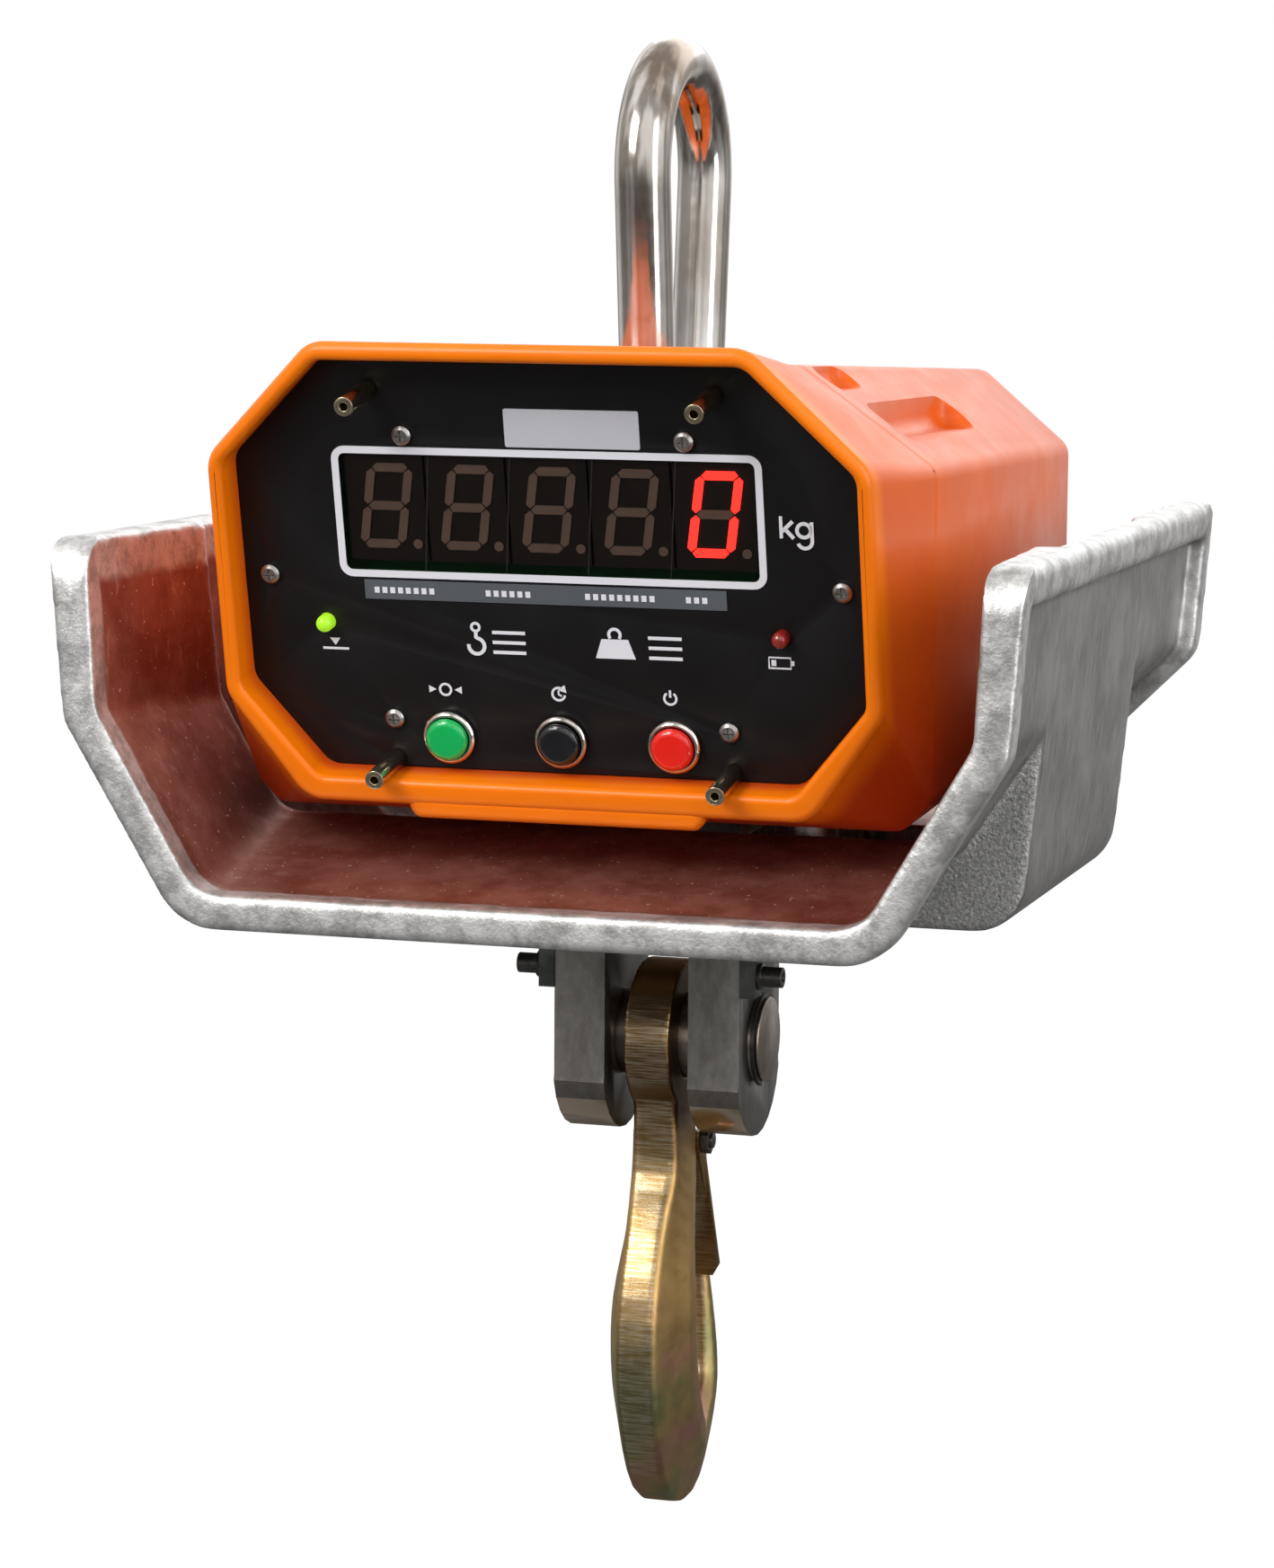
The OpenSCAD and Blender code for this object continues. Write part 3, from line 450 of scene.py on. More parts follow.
def cast_aluminium():
    """Ground beads, brushed outer panels, a rough as-cast end wall, and inside faces tinted red-brown as a
    painted reflection of the orange housing.
    """
    s = Shader("cast_aluminium")
    x, y, z = s.split(s.place)
    nx, ny, nz = s.facing()

    # Outer panels: blotched and brushed
    dull, fair, streak = (0.27, 0.265, 0.26), (0.43, 0.42, 0.415), (0.6, 0.59, 0.58)
    brushed = s.noise(900, 4, 0.6, (1, 1, 0.05))
    blotch = s.noise(38, 5, 0.65)
    panel = s.mix(s.step(blotch, 0.35, 0.68), dull, fair)
    panel = s.mix(s.times(s.step(brushed, 0.45, 0.66), 0.45), panel, streak)

    # Beads along the front, the rear and the crest: ground bright
    dusty, bright = (0.46, 0.455, 0.45), (0.82, 0.82, 0.82)
    ground = s.mix(s.step(s.noise(110, 6, 0.75), 0.36, 0.62), dusty, bright)
    wobble = s.times(s.math("SUBTRACT", s.noise(60, 3), 0.5), 0.006)
    front = s.step(s.plus(s.times(y, -1.0), wobble), 0.1375, 0.1395)
    rear = s.step(s.plus(y, wobble), 0.1395, 0.142)
    crest = s.step(s.plus(z, wobble), -0.146, -0.1425)
    bead = s.math("MAXIMUM", s.math("MAXIMUM", front, rear), crest)

    # End walls of the belly: rough as cast
    rough_low, rough_high = (0.36, 0.36, 0.355), (0.56, 0.555, 0.55)
    across = s.step(s.math("ABSOLUTE", ny), 0.6, 0.85)
    wall = s.times(across, s.step(s.times(s.math("ABSOLUTE", y), -1.0), -0.08, -0.076))
    cast = s.mix(s.step(s.noise(900, 3), 0.35, 0.65), rough_low, rough_high)

    # Inside faces look towards the middle or up: tinted red-brown as a painted reflection of the orange
    # housing, with lighter patches, more of them higher up, and pale specks
    reflected_orange_dark, tan, lighter_tint, speck = (0.30, 0.11, 0.075), (0.50, 0.26, 0.2), (0.72, 0.6, 0.55), (0.95, 0.88, 0.84)
    outward = s.times(s.math("SIGN", x), nx)
    inside = s.step(s.math("SUBTRACT", nz, outward), 0.3, 0.7)
    # Painted reflection: two red-brown tones stand in for the orange housing mirrored in the inside faces
    stain_and_reflection = s.mix(s.step(s.noise(45, 6, 0.7), 0.34, 0.68), reflected_orange_dark, tan)
    lighter_patches = s.step(s.noise(150, 5, 0.7, (1, 1, 0.4)), 0.56, 0.7)
    high = s.plus(s.times(s.step(z, -0.235, -0.17), 0.4), 0.2)
    stain_and_reflection = s.mix(s.times(lighter_patches, high), stain_and_reflection, lighter_tint)
    stain_and_reflection = s.mix(s.step(s.noise(620, 2, 0.5), 0.7, 0.74), stain_and_reflection, speck)

    tone = s.mix(inside, panel, stain_and_reflection)
    tone = s.mix(bead, tone, ground)
    tone = s.mix(wall, tone, cast)
    rough = s.plus(s.times(wall, 0.15), 0.36)
    s.set(Base_Color=tone, Metallic=0.85)
    s.set(Roughness=s.plus(rough, s.times(s.noise(140, 4), 0.16)))
    first = s.bump(s.times(s.noise(620, 4, 0.7), wall), 0.7, 1.0)
    second = s.bump(s.times(s.noise(230, 5, 0.75), bead), 0.4, 0.8, first)
    third = s.bump(s.noise(55, 4, 0.7), 0.3, 0.5, second)
    s.bump(brushed, 0.1, 0.08, third)
    return s.material


def clevis_steel():
    """Dull ground steel; the rounded bottoms of the ears are smoother, as polished by use, and tinted brassy
    as a painted reflection of the gold hook below.
    """
    s = Shader("clevis_steel")
    dark, grey, bright, reflected_gold = (0.19, 0.18, 0.17), (0.31, 0.3, 0.285), (0.6, 0.56, 0.5), (0.74, 0.6, 0.46)
    polish_and_reflection = s.step(s.times(s.facing()[2], -1.0), 0.35, 0.6)
    pattern = s.noise(260, 5, 0.7, (1, 1, 0.5))
    flat = s.ramp(pattern, (0.32, dark), (0.7, grey))
    scratch = s.step(s.noise(90, 6, 0.8, (1, 1, 2)), 0.66, 0.7)
    flat = s.mix(s.times(scratch, 0.35), flat, bright)
    rough = s.plus(s.times(pattern, 0.2), 0.3)
    # Downward faces: a painted reflection of the gold hook below in their colour, and a real smoother polish
    # in their roughness
    s.set(Base_Color=s.mix(polish_and_reflection, flat, reflected_gold), Metallic=1.0)
    s.set(Roughness=s.plus(s.times(polish_and_reflection, -0.2), rough))
    s.bump(pattern, 0.15, 0.15)
    return s.material


def yellow_zinc(name, dark=1.0):
    """Yellow passivated steel: fine lines on the front, painted paler along them as a highlight, dull sides,
    iridescent patches low down and a painted shade on the eye; dark below 1 dims every colour as a painted
    shade.
    """
    s = Shader(name)
    z = s.split(s.place)[2]

    # dark below 1 dims every colour of this finish: a painted shade
    def dimmed(*colour):
        return tuple(c * dark for c in colour)

    olive, gold, amber = dimmed(0.36, 0.22, 0.08), dimmed(0.46, 0.30, 0.115), dimmed(0.50, 0.31, 0.14)
    green, ochre, rose = dimmed(0.22, 0.26, 0.12), dimmed(0.42, 0.30, 0.14), dimmed(0.46, 0.22, 0.2)
    plated = s.ramp(s.noise(60, 4, 0.6), (0.3, olive), (0.5, gold), (0.7, amber))
    film = s.ramp(s.noise(45, 3, 0.5), (0.36, green), (0.5, ochre), (0.64, rose))
    low = s.step(s.times(z, -1.0), 0.375, 0.405)
    tone = s.mix(s.times(low, 0.8), plated, film)
    # Painted shade: the eye, at the top of the hook, is darkened to deep brown
    eye = s.step(z, -0.338, -0.318)
    tone = s.mix(s.times(eye, 0.75), tone, dimmed(0.2, 0.105, 0.04))
    # Front faces: fine machining lines, painted pale gold along them as a highlight
    front = s.step(s.times(s.facing()[1], -1.0), 0.75, 0.92)
    lines = s.noise(2100, 3, 0.6, (0.04, 0.04, 1))
    bright = s.times(front, s.step(lines, 0.4, 0.62))
    tone = s.mix(s.times(bright, 0.45), tone, dimmed(0.86, 0.78, 0.6))
    s.set(Base_Color=tone, Metallic=1.0)
    rough = s.ramp(s.noise(140, 5, 0.7), (0.3, 0.36), (0.75, 0.52))
    s.set(Roughness=s.math("SUBTRACT", rough, s.times(front, 0.12)))
    first = s.bump(s.noise(420, 5, 0.7), 0.25, 0.3)
    s.bump(s.times(lines, front), 0.4, 0.08, first)
    return s.material


def chrome(name, roughness, top_brown=0.0):
    """Bright plating with a warm haze, and, where asked for, brown patches that darken the top of the bow.
    """
    s = Shader(name)
    haze = s.noise(38, 4, 0.6, (1, 1, 0.3))
    tone = s.ramp(haze, (0.34, (0.40, 0.365, 0.33)), (0.62, (0.82, 0.80, 0.77)))
    if top_brown:
        # Brown patches, only near the top of the bow, darken it there
        top = s.step(s.split(s.place)[2], -0.05, -0.012)
        brown_patches = s.step(s.noise(34, 5, 0.65, (1, 1, 0.5)), 0.42, 0.6)
        tone = s.mix(s.times(s.times(brown_patches, top), top_brown), tone, (0.30, 0.22, 0.16))
    s.set(Base_Color=tone, Metallic=1.0)
    s.set(Roughness=s.ramp(s.noise(80, 5, 0.7), (0.35, roughness), (0.8, roughness * 2.2)))
    first = s.bump(s.noise(45, 2), 0.25, 1.2)
    s.bump(s.noise(300, 4, 0.7, (1, 1, 0.15)), 0.06, 0.1, first)
    return s.material


def glowing(name, colour, strength, core):
    """A lit lens of one colour that gives off the core's colour."""
    s = Shader(name)
    s.set(Base_Color=colour, Roughness=0.3, Emission_Color=core, Emission_Strength=strength)
    s.bump(s.noise(300), 0.05, 0.05)
    return s.material


def tinted_window():
    """Smoked acrylic: mostly clear, with a thin glossy skin."""
    s = Shader("window")
    clear = s.node("ShaderNodeBsdfTransparent")
    clear.inputs["Color"].default_value = (0.9, 0.86, 0.84, 1)
    gloss = s.node("ShaderNodeBsdfGlossy")
    gloss.inputs["Roughness"].default_value = 0.08
    gloss.inputs["Color"].default_value = (0.5, 0.5, 0.5, 1)
    weight = s.node("ShaderNodeFresnel")
    weight.inputs["IOR"].default_value = 1.25
    blend = s.node("ShaderNodeMixShader")
    s.link(weight.outputs[0], blend.inputs["Fac"])
    s.link(clear.outputs[0], blend.inputs[1])
    s.link(gloss.outputs[0], blend.inputs[2])
    s.link(blend.outputs[0], s.output.inputs["Surface"])
    return s.material


def orange_paint():
    """Glossy moulded orange, with a painted highlight that brightens the bezel's rim and a painted shade
    that darkens the lower body.
    """
    s = Shader("orange_paint")
    y, z = s.split(s.place)[1:]
    # Height over the display face, as the place's dot product with the face's normal
    along = s.times(s.plus(y, -FACE_ORIGIN.y), FACE_W.y)
    upward = s.times(s.plus(z, -FACE_ORIGIN.z), FACE_W.z)
    # Painted highlight: the rim, standing over the display face, gets a brighter, yellower orange
    rim = s.step(s.plus(along, upward), 0.001, 0.008)
    body = s.ramp(s.noise(28, 4), (0.3, (0.74, 0.112, 0.004)), (0.75, (0.82, 0.135, 0.005)))
    # Painted shade: the body goes darker and redder towards the bottom
    low = s.step(s.times(z, -1.0), 0.165, 0.205)
    body = s.mix(low, body, (0.62, 0.07, 0.006))
    bright = s.ramp(s.noise(28, 4), (0.3, (0.93, 0.19, 0.0)), (0.75, (1.0, 0.22, 0.0)))
    s.set(Base_Color=s.mix(rim, body, bright), IOR=1.5, Specular_IOR_Level=0.3)
    s.set(Coat_Weight=0.12, Coat_Roughness=0.2)
    s.set(Roughness=s.ramp(s.noise(60, 3), (0.3, 0.28), (0.8, 0.44)))
    skin = s.bump(s.noise(700, 2), 0.06, 0.05)
    s.bump(s.noise(35, 2), 0.1, 0.6, skin)
    return s.material


M = {
    "orange": orange_paint(),
    "gasket": moulded("gasket_rubber", (0.03, 0.03, 0.03), (0.02, 0.02, 0.02), 0.6, 0, 0.3),
    "panel": moulded("panel_film", (0.008, 0.0075, 0.0085), (0.006, 0.0055, 0.006), 0.42, 0, 0.1, 0.25),
    "white": moulded("white_print", (0.85, 0.86, 0.92), (0.78, 0.79, 0.86), 0.4, 0, 0.05),
    "module": moulded("module_black", (0.012, 0.011, 0.011), (0.008, 0.007, 0.007), 0.5, 0, 0.1),
    "board": moulded("circuit_board", (0.02, 0.16, 0.06), (0.01, 0.1, 0.04), 0.4, 0.3, 0.1),
    "strip": moulded("grey_print", (0.105, 0.12, 0.135), (0.085, 0.095, 0.11), 0.45, 0, 0.1),
    "plate": moulded("plate_silver", (0.60, 0.61, 0.66), (0.54, 0.55, 0.6), 0.4, 0.1, 0.05),
    "green": moulded("button_green", (0.0, 0.5, 0.11), (0.0, 0.42, 0.09), 0.22, 0.6, 0.03),
    "black": moulded("button_black", (0.008, 0.009, 0.012), (0.006, 0.007, 0.009), 0.2, 0.5, 0.03),
    "red": moulded("button_red", (0.9, 0.016, 0.006), (0.8, 0.012, 0.005), 0.22, 0.6, 0.03),
    "off": moulded("segment_off", (0.30, 0.23, 0.19), (0.26, 0.20, 0.17), 0.6, 0, 0.1),
    "on": glowing("segment_on", (0.9, 0.02, 0.015), 2.2, (1.0, 0.035, 0.025)),
    "led_green": glowing("led_green", (0.3, 0.6, 0.02), 0.5, (0.4, 0.9, 0.03)),
    "led_red": moulded("led_red", (0.32, 0.02, 0.015), (0.25, 0.015, 0.012), 0.12, 0.8, 0.02),
    "window": tinted_window(),
    "chrome": chrome("chrome", 0.08),
    "shackle": chrome("shackle_chrome", 0.11, 0.85),
    "zinc": metal("screw_steel", (0.5, 0.49, 0.47), (0.3, 0.29, 0.28), 0.32, 300),
    "brass": metal("brass_plated", (0.68, 0.6, 0.44), (0.42, 0.35, 0.22), 0.2, 300),
    "cast": cast_aluminium(),
    "dark": metal("black_steel", (0.16, 0.155, 0.15), (0.07, 0.068, 0.066), 0.36, 240, spots=0.5),
    "bracket": metal("bracket_steel", (0.2, 0.21, 0.2), (0.1, 0.11, 0.1), 0.45, 160, spots=0.5),
    "spacer": metal("spacer_steel", (0.5, 0.49, 0.48), (0.3, 0.29, 0.28), 0.35, 260),
    "cell": metal("cell_nickel", (0.7, 0.69, 0.66), (0.52, 0.51, 0.48), 0.3, 200),
    "clevis": clevis_steel(),
    "pin": metal("pin_steel", (0.5, 0.44, 0.39), (0.25, 0.2, 0.17), 0.3, 120, 0.6),
    "hook": yellow_zinc("yellow_zinc"),
    # The latch takes the hook's finish dimmed to 0.62: a painted shade for the latch hanging in the hook's
    # shadow
    "latch": yellow_zinc("latch_zinc", 0.62),
    "spring": metal("spring_steel", (0.5, 0.5, 0.5), (0.3, 0.3, 0.3), 0.3, 500),
    "sheath": moulded("lead_sheath", (0.02, 0.02, 0.02), (0.012, 0.012, 0.012), 0.45, 0.1, 0.2),
    "battery": moulded("battery_case", (0.05, 0.055, 0.06), (0.035, 0.04, 0.045), 0.4, 0.1, 0.2),
    "tray": moulded("tray_plastic", (0.12, 0.12, 0.12), (0.09, 0.09, 0.09), 0.5, 0, 0.25),
}

SLOT_LOOK = {
    "orange_paint": "orange", "gasket_rubber": "gasket", "screw_steel": "zinc", "panel_film": "panel",
    "white_print": "white", "window": "window", "module_black": "module", "segment_off": "off",
    "segment_on": "on", "circuit_board": "board", "grey_print": "strip", "plate_silver": "plate",
    "button_green": "green", "button_black": "black", "button_red": "red", "chrome": "chrome",
    "led_green": "led_green", "led_red": "led_red", "brass_plated": "brass", "cast_aluminium": "cast",
    "black_steel": "dark", "bracket_steel": "bracket", "shackle_chrome": "shackle", "spacer_steel": "spacer",
    "cell_nickel": "cell", "lead_sheath": "sheath", "battery_case": "battery", "tray_plastic": "tray",
    "clevis_steel": "clevis", "pin_steel": "pin", "yellow_zinc": "hook", "latch_zinc": "latch",
    "spring_steel": "spring",
}
LOOK = {s["node"]: M[SLOT_LOOK[s["material_slot"]]] for s in RECORD["subparts"]}
for name, node in NODES.items():
    for slot in node.material_slots:
        slot.material = LOOK[name]


# ---------------------------------------------------------------- housing
def face_ring(outline, w):
    return [face_point(u, v, w) for u, v in outline]


def section_ring(outline, y):
    return [section_point(x, z, y) for x, z in outline]


def quarter():
    """Angles of a quarter turn, for a rounded edge."""
    steps = 6
    return [math.pi / 2 * k / steps for k in range(steps + 1)]


def bezel_shell():
    """The bezel's rim and its flared body, closed round the opening for the panel."""
    bezel, recess, split = mirrored(BEZEL), mirrored(RECESS), mirrored(SPLIT_SECTION)
    outer_r, inner_r = 2.9, 1.9
    split_corner, rim_corner, well_corner, inner_corner = 6, 11, 7, 4
    wall, ledge = 4, 3
    seam = SPLIT_Y - 0.1
    rings = [section_ring(rounded(split, split_corner), seam)]
    rings.append(section_ring(rounded(inset(split, 0.25), split_corner), SPLIT_Y - 2.5))
    for a in quarter():
        d = outer_r * (1 - math.cos(a))
        w = RIM_RISE - outer_r + outer_r * math.sin(a)
        rings.append(face_ring(rounded(inset(bezel, d), rim_corner - d), w))
    for a in quarter():
        d = -inner_r * (1 - math.sin(a))
        w = RIM_RISE - inner_r + inner_r * math.cos(a)
        rings.append(face_ring(rounded(inset(recess, d), well_corner), w))
    opening = rounded(inset(recess, wall), inner_corner)
    rings.append(face_ring(rounded(recess, well_corner), -PANEL_T))
    rings.append(face_ring(opening, -PANEL_T))
    rings.append(face_ring(opening, -PANEL_T - ledge))
    rings.append(section_ring(rounded(inset(split, wall), inner_corner), seam))
    return loft("front_shell", rings, ring_closed=True, smooth_angle=50)


def chin_lip():
    """The raised lip under the bezel."""
    chin = [(-49, -56), (-42.5, -63.2), (42.5, -63.2), (49, -56)]
    radius, top, foot, corner_steps = 2.6, RIM_RISE - 0.5, -8, 5
    rings = [face_ring(rounded(chin, 3.0, corner_steps), foot)]
    for a in quarter():
        d = radius * (1 - math.cos(a))
        outline = rounded(inset(chin, d), 3.2 - d * 0.9, corner_steps)
        rings.append(face_ring(outline, top - radius + radius * math.sin(a)))
    return loft("chin", rings, smooth_angle=50)


def front_housing():
    piece = join([bezel_shell(), chin_lip()], "front_housing_shell")
    finish_piece(piece, "front_housing", M["orange"], 50)


def rear_housing():
    """A hollow moulded box with screw pockets and the ways for the shackle, the clevis and the door."""
    front, back = mirrored(SPLIT_SECTION), mirrored(BACK_SECTION)
    start, turn, corner, wall = SPLIT_Y + 1.2, 7.0, 7, 4
    rings = [section_ring(rounded(inset(front, 0.3), corner), start)]
    rings.append(section_ring(rounded(front, corner), start + 1.6))
    for a in quarter():
        d = turn * (1 - math.cos(a))
        y = BACK_Y - turn + turn * math.sin(a)
        rings.append(section_ring(rounded(inset(back, d * 0.85), max(3.0, corner - d)), y))
    shell = loft("rear_shell", rings)
    hollow = loft("hollow", [section_ring(rounded(inset(front, wall), wall), start - 5),
                             section_ring(rounded(inset(back, wall), wall), BACK_Y - wall)])
    for low, high in pockets(wall):
        for side in (1, -1):
            cut(hollow, box_mesh("wall", *side_box(low, high, side)))
    cut(shell, hollow)
    for low, high in pockets(0):
        for side in (1, -1):
            tool = box_mesh("pocket", *side_box(low, high, side))
            bevel(tool, 5, 5, 60)
            cut(shell, tool)
    cut(shell, box_mesh("top_way", (-21, -45, -110), (21, 45, -60)))
    cut(shell, box_mesh("floor_way", (-40, -33, -230), (40, 33, -205)))
    cut(shell, box_mesh("door_way", (-70, BACK_Y - 10, -196), (70, BACK_Y + 10, -112)))
    tidy_normals(shell)
    bevel(shell, 1.3, 3, 38)
    shell.name = "rear_housing_shell"
    finish_piece(shell, "rear_housing", M["orange"], 40)


def pockets(d):
    """Screw pockets in the upper chamfer, as boxes on the right side, grown by d."""
    long_pocket = ((79 - d, -72 - d, -102.6 - d), (125, 22 + d, -60))
    short_pocket = ((64 - d, -78 - d, -88 - d), (92, -48 + d, -60))
    return [long_pocket, short_pocket]


def side_box(low, high, side):
    """The box's corners, mirrored to the left where side is -1."""
    if side > 0:
        return low, high
    return (-high[0], low[1], low[2]), (-low[0], high[1], high[2])


# ---------------------------------------------------------------- metalwork
def guard():
    """The casting with soft edges, and the ends of its side rails rounded off."""
    piece = copy_node("guard", "guard_casting")
    voxel = 1.1
    melt(piece, voxel, rounds=10, triangles=110000)
    low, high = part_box("guard")
    radius = 14 * MM
    crown = high.z - radius
    for vertex in piece.data.vertices:
        point = vertex.co
        for edge, sign in ((low.y + radius, -1), (high.y - radius, 1)):
            out = (point.y - edge) * sign
            up = point.z - crown
            reach = math.hypot(out, up)
            if out > 0 and up > 0 and reach > radius:
                point.y = edge + sign * out * radius / reach
                point.z = crown + up * radius / reach
    finish_piece(piece, "guard", M["cast"])


def hook():
    piece = copy_node("hook", "hook_forging")
    melt(piece, 0.8, rounds=5, triangles=60000)
    finish_piece(piece, "hook", M["hook"])


def tube(name, points, radius):
    """A round bar along the points, which lie in a plane of constant x."""
    sides = 40
    angles = [2 * math.pi * k / sides for k in range(sides)]
    rings = []
    for i, p in enumerate(points):
        t = (points[min(i + 1, len(points) - 1)] - points[max(i - 1, 0)]).normalized()
        a = t.cross(Vector((1, 0, 0))).normalized()
        b = t.cross(a)
        rings.append([p + (a * math.cos(turn) + b * math.sin(turn)) * radius for turn in angles])
    return loft(name, rings, smooth_angle=50)


def shackle():
    """Bow and legs as one smooth bar; the eyes come from the frame's own mesh below the housing top."""
    bow, bar, lean, reach = 33.5, 8.5, math.radians(6.3), 62
    leg_steps, bow_steps = 12, 72
    centre = -bow + bar
    legs = []
    for side in (-1, 1):
        start = Vector((0, side * bow * math.cos(lean), centre - bow * math.sin(lean)))
        along = Vector((0, -side * math.sin(lean), -math.cos(lean)))
        legs.append([(start + along * reach * k / leg_steps) * MM for k in range(leg_steps, 0, -1)])
    turns = [-lean + (math.pi + 2 * lean) * k / bow_steps for k in range(bow_steps + 1)]
    top = [Vector((0, -bow * math.cos(a), centre + bow * math.sin(a))) * MM for a in turns]
    bar_piece = tube("bar", legs[0] + top + list(reversed(legs[1])), bar * MM)
    eyes = copy_node("shackle", "eyes")
    cut(eyes, box_mesh("above", (-40, -60, -86), (40, 60, 40)))
    piece = join([bar_piece, eyes], "shackle_bow_bar")
    finish_piece(piece, "shackle", M["shackle"], 40)


def polished(node, width, segments=2, angle=35):
    """The node's own shape with its sharp edges broken."""
    piece = copy_node(node, node + "_edged")
    bevel(piece, width, segments, angle)
    finish_piece(piece, node, LOOK[node])


# ---------------------------------------------------------------- printed face
def printed(name, outlines, material, w=0.12, thick=0.12):
    """Flat marks on the panel from closed outlines in face millimetres."""
    bm = bmesh.new()
    for outline in outlines:
        low = [bm.verts.new(face_point(u, v, w)) for u, v in outline]
        high = [bm.verts.new(face_point(u, v, w + thick)) for u, v in outline]
        bm.faces.new(high)
        n = len(outline)
        for i in range(n):
            bm.faces.new((low[i], low[(i + 1) % n], high[(i + 1) % n], high[i]))
    mesh = bpy.data.meshes.new(name)
    bmesh.ops.recalc_face_normals(bm, faces=bm.faces)
    bm.to_mesh(mesh)
    bm.free()
    piece = link_object(name, mesh)
    piece.data.materials.append(material)
    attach(piece, "scale_body")
    return piece


def stroke(points, width):
    """Outline of a line of constant width through the points."""
    left, right = [], []
    for i, p in enumerate(points):
        a, b = Vector(points[max(i - 1, 0)]), Vector(points[min(i + 1, len(points) - 1)])
        t = (b - a).normalized()
        side = Vector((-t.y, t.x)) * width / 2
        left.append(tuple(Vector(p) + side))
        right.append(tuple(Vector(p) - side))
    return left + right[::-1]


def arc(u, v, r, start, end):
    """Points of an arc between two angles in degrees."""
    steps = 24
    turns = [math.radians(start + (end - start) * k / steps) for k in range(steps + 1)]
    return [(u + r * math.cos(turn), v + r * math.sin(turn)) for turn in turns]


def bars(u):
    """Three short lines that stand for a word."""
    return [stroke([(u, v), (u + 10, v)], 1.0) for v in (-14.6, -11.6, -8.6)]


def face_marks():
    """The unit's two letters, then pictograms in place of the words."""
    white = M["white"]
    k, g = (68.3, 20.3), (73.4, 20.3)
    printed("unit_mark", [
        stroke([(k[0] + 0.6, k[1] + 2), (k[0] + 0.6, k[1] + 8.4)], 0.95),
        stroke([(k[0] + 0.9, k[1] + 4.0), (k[0] + 4.0, k[1] + 7.0)], 1.1),
        stroke([(k[0] + 1.8, k[1] + 4.7), (k[0] + 4.2, k[1] + 2.0)], 1.1),
        stroke(arc(g[0] + 2.1, g[1] + 4.4, 2.0, 0, 360), 1.05),
        stroke([(g[0] + 4.4, g[1] + 6.9), (g[0] + 4.4, g[1] + 1.2)]
               + arc(g[0] + 2.3, g[1] + 1.3, 2.1, 0, -160), 1.05),
    ], white)
    printed("hook_mark", [
        stroke(arc(-24, -7.2, 1.2, 0, 360), 0.8),
        stroke([(-24, -8.6), (-24, -10.4)] + arc(-24, -12.9, 2.4, 80, -190), 1.1),
        *bars(-19),
    ], white)
    printed("weight_mark", [
        [(12, -15.2), (24, -15.2), (22, -9.4), (14, -9.4)],
        stroke(arc(18, -8.0, 1.7, -40, 220), 0.9),
        *bars(28),
    ], white)
    row = -26.6
    printed("zero_mark", [
        stroke(arc(-34.6, row, 1.7, 0, 360), 0.7),
        [(-39.6, row + 1.1), (-37.4, row), (-39.6, row - 1.1)],
        [(-29.6, row + 1.1), (-31.8, row), (-29.6, row - 1.1)],
    ], white)
    printed("recall_mark", [
        stroke(arc(0, row, 1.9, 60, 350), 0.7),
        [(1.9, row + 2.8), (2.4, row + 0.4), (-0.2, row + 1.2)],
        stroke([(0, row + 1.0), (0, row - 0.1), (0.9, row - 0.6)], 0.55),
    ], white)
    printed("power_mark", [
        stroke(arc(33.6, row, 1.8, 125, 415), 0.7),
        stroke([(33.6, row + 0.3), (33.6, row + 2.5)], 0.7),
    ], white)
    printed("stable_mark", [
        stroke([(-71.6, -15.2), (-63.6, -15.2)], 0.7),
        [(-69.2, -12.0), (-66.0, -12.0), (-67.6, -14.2)],
    ], white)
    u, v = 63.5, -16.2
    printed("battery_mark", [
        stroke([(u, v), (u + 6.4, v), (u + 6.4, v + 3.2), (u, v + 3.2), (u, v - 0.2)], 0.5),
        [(u + 6.6, v + 0.9), (u + 7.4, v + 0.9), (u + 7.4, v + 2.3), (u + 6.6, v + 2.3)],
        [(u + 0.7, v + 0.7), (u + 2.1, v + 0.7), (u + 2.1, v + 2.5), (u + 0.7, v + 2.5)],
    ], white)
    pitch, width, low, high = 2.4, 1.5, 2.3, 4.1
    marks = []
    for start, count in ((-54, 8), (-20, 6), (10, 9), (40, 3)):
        for i in range(count):
            u = start + pitch * i
            marks.append([(u, low), (u + width, low), (u + width, high), (u, high)])
    printed("strip_marks", marks, white, 0.36, 0.05)


def module_gaps():
    """Thin bright joints between the digit modules."""
    pitch, half, lean, foot, head = 24.6, 0.16, 1.6, 9, 43
    lines = []
    for i in range(4):
        u = (i - 1.5) * pitch
        lines.append([(u - half - lean, foot), (u + half - lean, foot),
                      (u + half + lean, head), (u - half + lean, head)])
    piece = printed("module_joints", lines, M["strip"], -1.9, 0.2)


front_housing()
rear_housing()
guard()
hook()
shackle()
for node in ("clevis", "guard_brackets", "battery_cover", "load_cell", "battery", "charge_socket"):
    polished(node, 0.7)
for node in ("guard_bolts", "guard_spacers", "hook_pin", "clevis_nut", "shackle_nut", "latch"):
    polished(node, 0.4)
for node in ("bracket_screws", "panel_screws", "standoffs", "pocket_screws", "battery_cover_screws",
             "latch_bolt", "latch_nut", "front_panel"):
    polished(node, 0.16)
for key in ("zero", "recall", "power"):
    polished(key + "_button_holder", 0.35, 3, 20)
    polished(key + "_button", 0.55, 4, 20)
face_marks()
module_gaps()


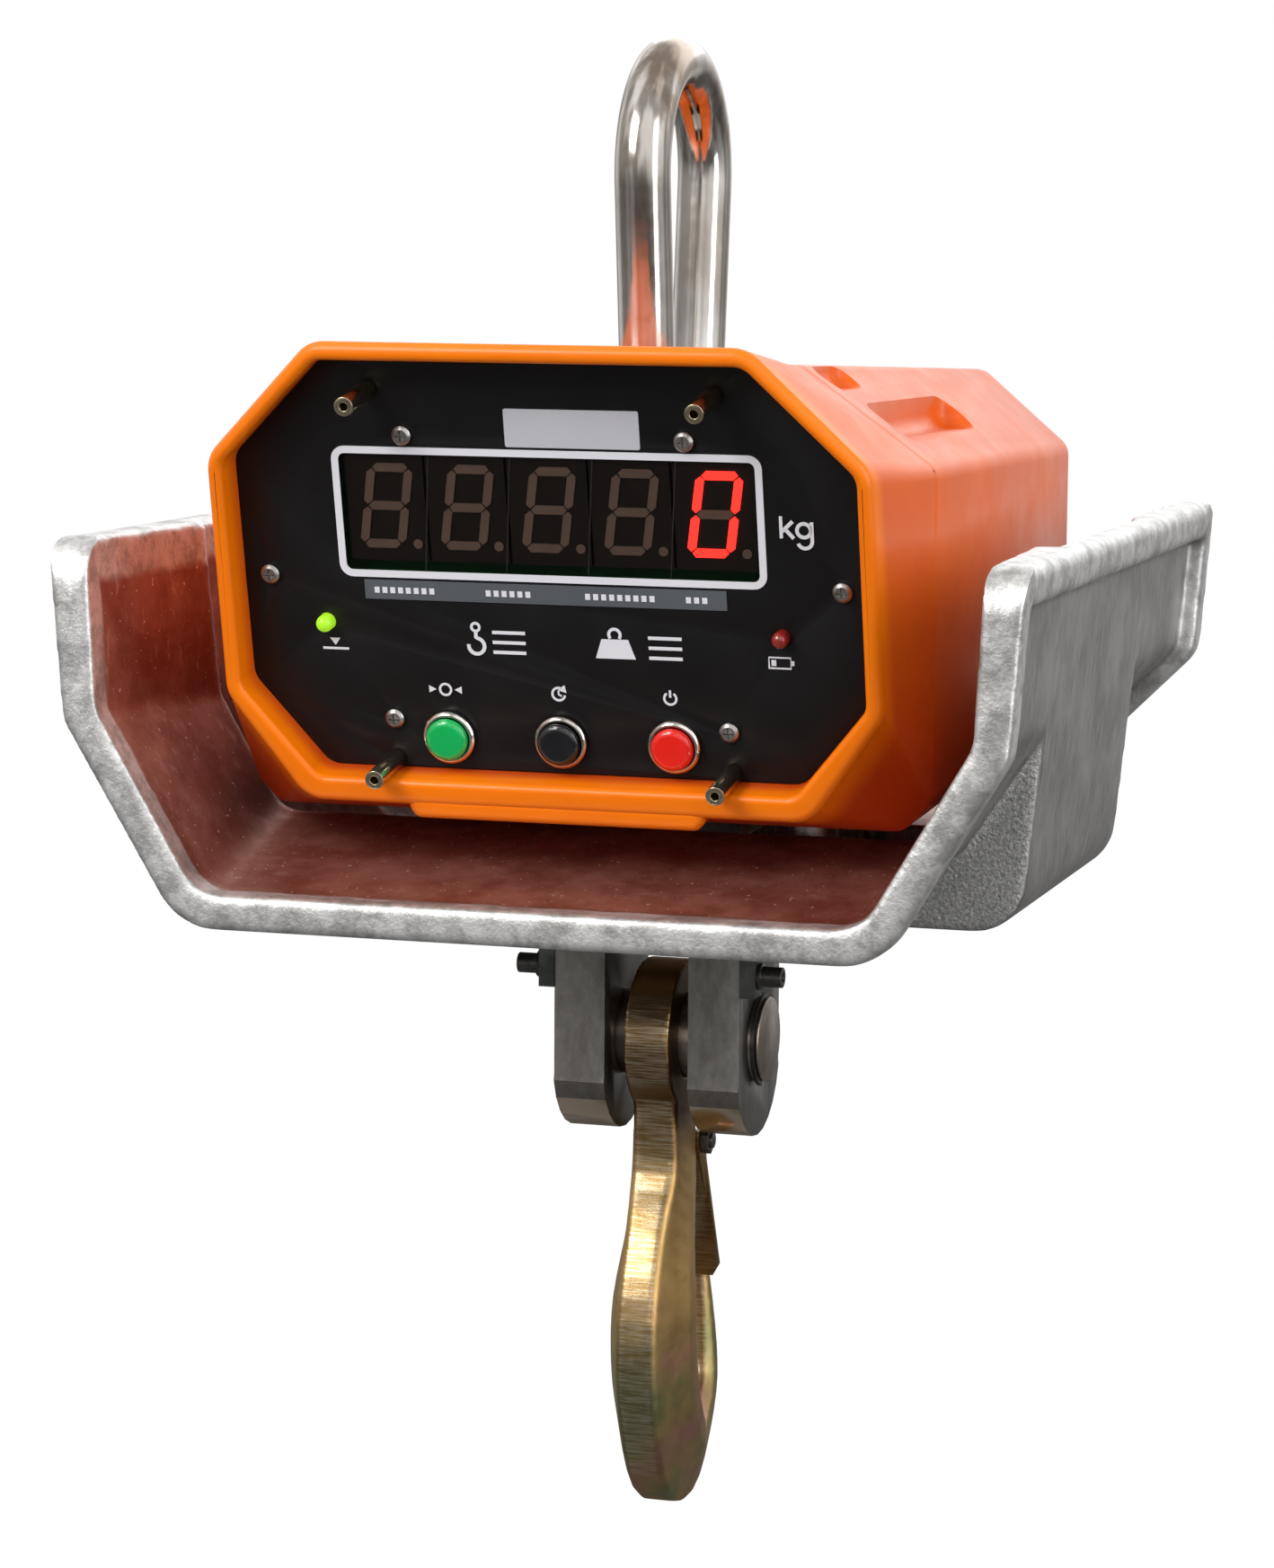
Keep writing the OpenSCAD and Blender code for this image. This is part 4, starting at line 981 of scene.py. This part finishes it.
# ---------------------------------------------------------------- camera and light
def camera():
    """A 100 mm lens on a full frame, in front of the scale and to its right."""
    place = Vector((0.3882, -1.2990, -0.0364))
    azimuth, elevation, roll = math.radians(17.07), math.radians(7.51), math.radians(-0.41)
    right = Vector((math.cos(azimuth), math.sin(azimuth), 0))
    back = Vector((math.sin(azimuth) * math.cos(elevation), -math.cos(azimuth) * math.cos(elevation),
                   math.sin(elevation)))
    up = back.cross(right)
    spun_right = right * math.cos(roll) - up * math.sin(roll)
    spun_up = right * math.sin(roll) + up * math.cos(roll)
    data = bpy.data.cameras.new("camera")
    data.lens = 100
    data.sensor_width = 36
    data.sensor_fit = "AUTO"
    data.clip_end = 20
    eye = link_object("camera", data)
    rows = Matrix((spun_right, spun_up, back)).transposed().to_4x4()
    rows.translation = place
    eye.matrix_world = rows
    bpy.context.scene.camera = eye


def area_light(name, place, target, size, power, colour=(1, 1, 1)):
    """A soft box at the place, turned towards the target."""
    data = bpy.data.lights.new(name, "AREA")
    data.shape = "RECTANGLE"
    data.size, data.size_y = size
    data.energy = power
    data.color = colour
    lamp = link_object(name, data)
    lamp.location = place
    lamp.rotation_euler = (Vector(target) - Vector(place)).to_track_quat("-Z", "Y").to_euler()


def world():
    """White to the camera; a studio with a dark floor and bright walls to everything else."""
    w = bpy.data.worlds.new("studio")
    bpy.context.scene.world = w
    w.use_nodes = True
    tree = w.node_tree
    tree.nodes.clear()
    coords = tree.nodes.new("ShaderNodeTexCoord")
    parts = tree.nodes.new("ShaderNodeSeparateXYZ")
    tree.links.new(coords.outputs["Generated"], parts.inputs[0])
    ramp = tree.nodes.new("ShaderNodeValToRGB")
    spread = tree.nodes.new("ShaderNodeMapRange")
    spread.inputs["From Min"].default_value = -1
    tree.links.new(parts.outputs["Z"], spread.inputs["Value"])
    tree.links.new(spread.outputs["Result"], ramp.inputs["Fac"])
    fill_ramp(ramp, ((0.0, 0.10), (0.40, 0.2), (0.52, 0.62), (0.7, 0.85), (1.0, 0.9)))
    patches = tree.nodes.new("ShaderNodeTexNoise")
    patches.inputs["Scale"].default_value = 1.6
    patches.inputs["Detail"].default_value = 2
    tree.links.new(coords.outputs["Generated"], patches.inputs["Vector"])
    boxes = tree.nodes.new("ShaderNodeValToRGB")
    fill_ramp(boxes, ((0.42, (0.5, 0.48, 0.46)), (0.56, 1.25)))
    tree.links.new(patches.outputs["Fac"], boxes.inputs["Fac"])
    product = tree.nodes.new("ShaderNodeMix")
    product.data_type = "RGBA"
    product.blend_type = "MULTIPLY"
    product.inputs["Factor"].default_value = 1
    tree.links.new(ramp.outputs["Color"], product.inputs[6])
    tree.links.new(boxes.outputs["Color"], product.inputs[7])
    soft = tree.nodes.new("ShaderNodeBackground")
    soft.inputs["Strength"].default_value = 1.25
    tree.links.new(product.outputs[2], soft.inputs["Color"])
    white = tree.nodes.new("ShaderNodeBackground")
    white.inputs["Color"].default_value = (1, 1, 1, 1)
    white.inputs["Strength"].default_value = 1.0
    path = tree.nodes.new("ShaderNodeLightPath")
    blend = tree.nodes.new("ShaderNodeMixShader")
    tree.links.new(path.outputs["Is Camera Ray"], blend.inputs["Fac"])
    tree.links.new(soft.outputs[0], blend.inputs[1])
    tree.links.new(white.outputs[0], blend.inputs[2])
    out = tree.nodes.new("ShaderNodeOutputWorld")
    tree.links.new(blend.outputs[0], out.inputs["Surface"])


def floor():
    """A plain white floor well below the hanging scale, as bright as the backdrop."""
    low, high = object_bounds()
    z = low[2] - 1.2
    reach = 12
    corners = [(-reach, -reach, z), (reach, -reach, z), (reach, reach, z), (-reach, reach, z)]
    piece = add_mesh("floor", corners, [(0, 1, 2, 3)])
    s = Shader("floor_white")
    s.set(Base_Color=(0.02, 0.02, 0.02), Roughness=1.0, Specular_IOR_Level=0.0)
    s.set(Emission_Color=(1.0, 1.0, 1.0), Emission_Strength=1.0)
    piece.data.materials.append(s.material)
    piece.visible_diffuse = False
    piece.visible_glossy = False
    piece.visible_shadow = False
    piece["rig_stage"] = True


camera()
world()
middle = (0, 0, -0.17)
area_light("key", (-0.9, -1.5, 1.0), middle, (0.9, 0.9), 24, (1, 0.98, 0.95))
area_light("back", (0.1, 1.6, 0.75), middle, (1.8, 0.9), 4)
area_light("right", (1.5, -0.6, 0.2), middle, (0.5, 1.4), 9, (1, 0.99, 0.97))
floor()
bpy.context.scene.view_settings.view_transform = "Standard"
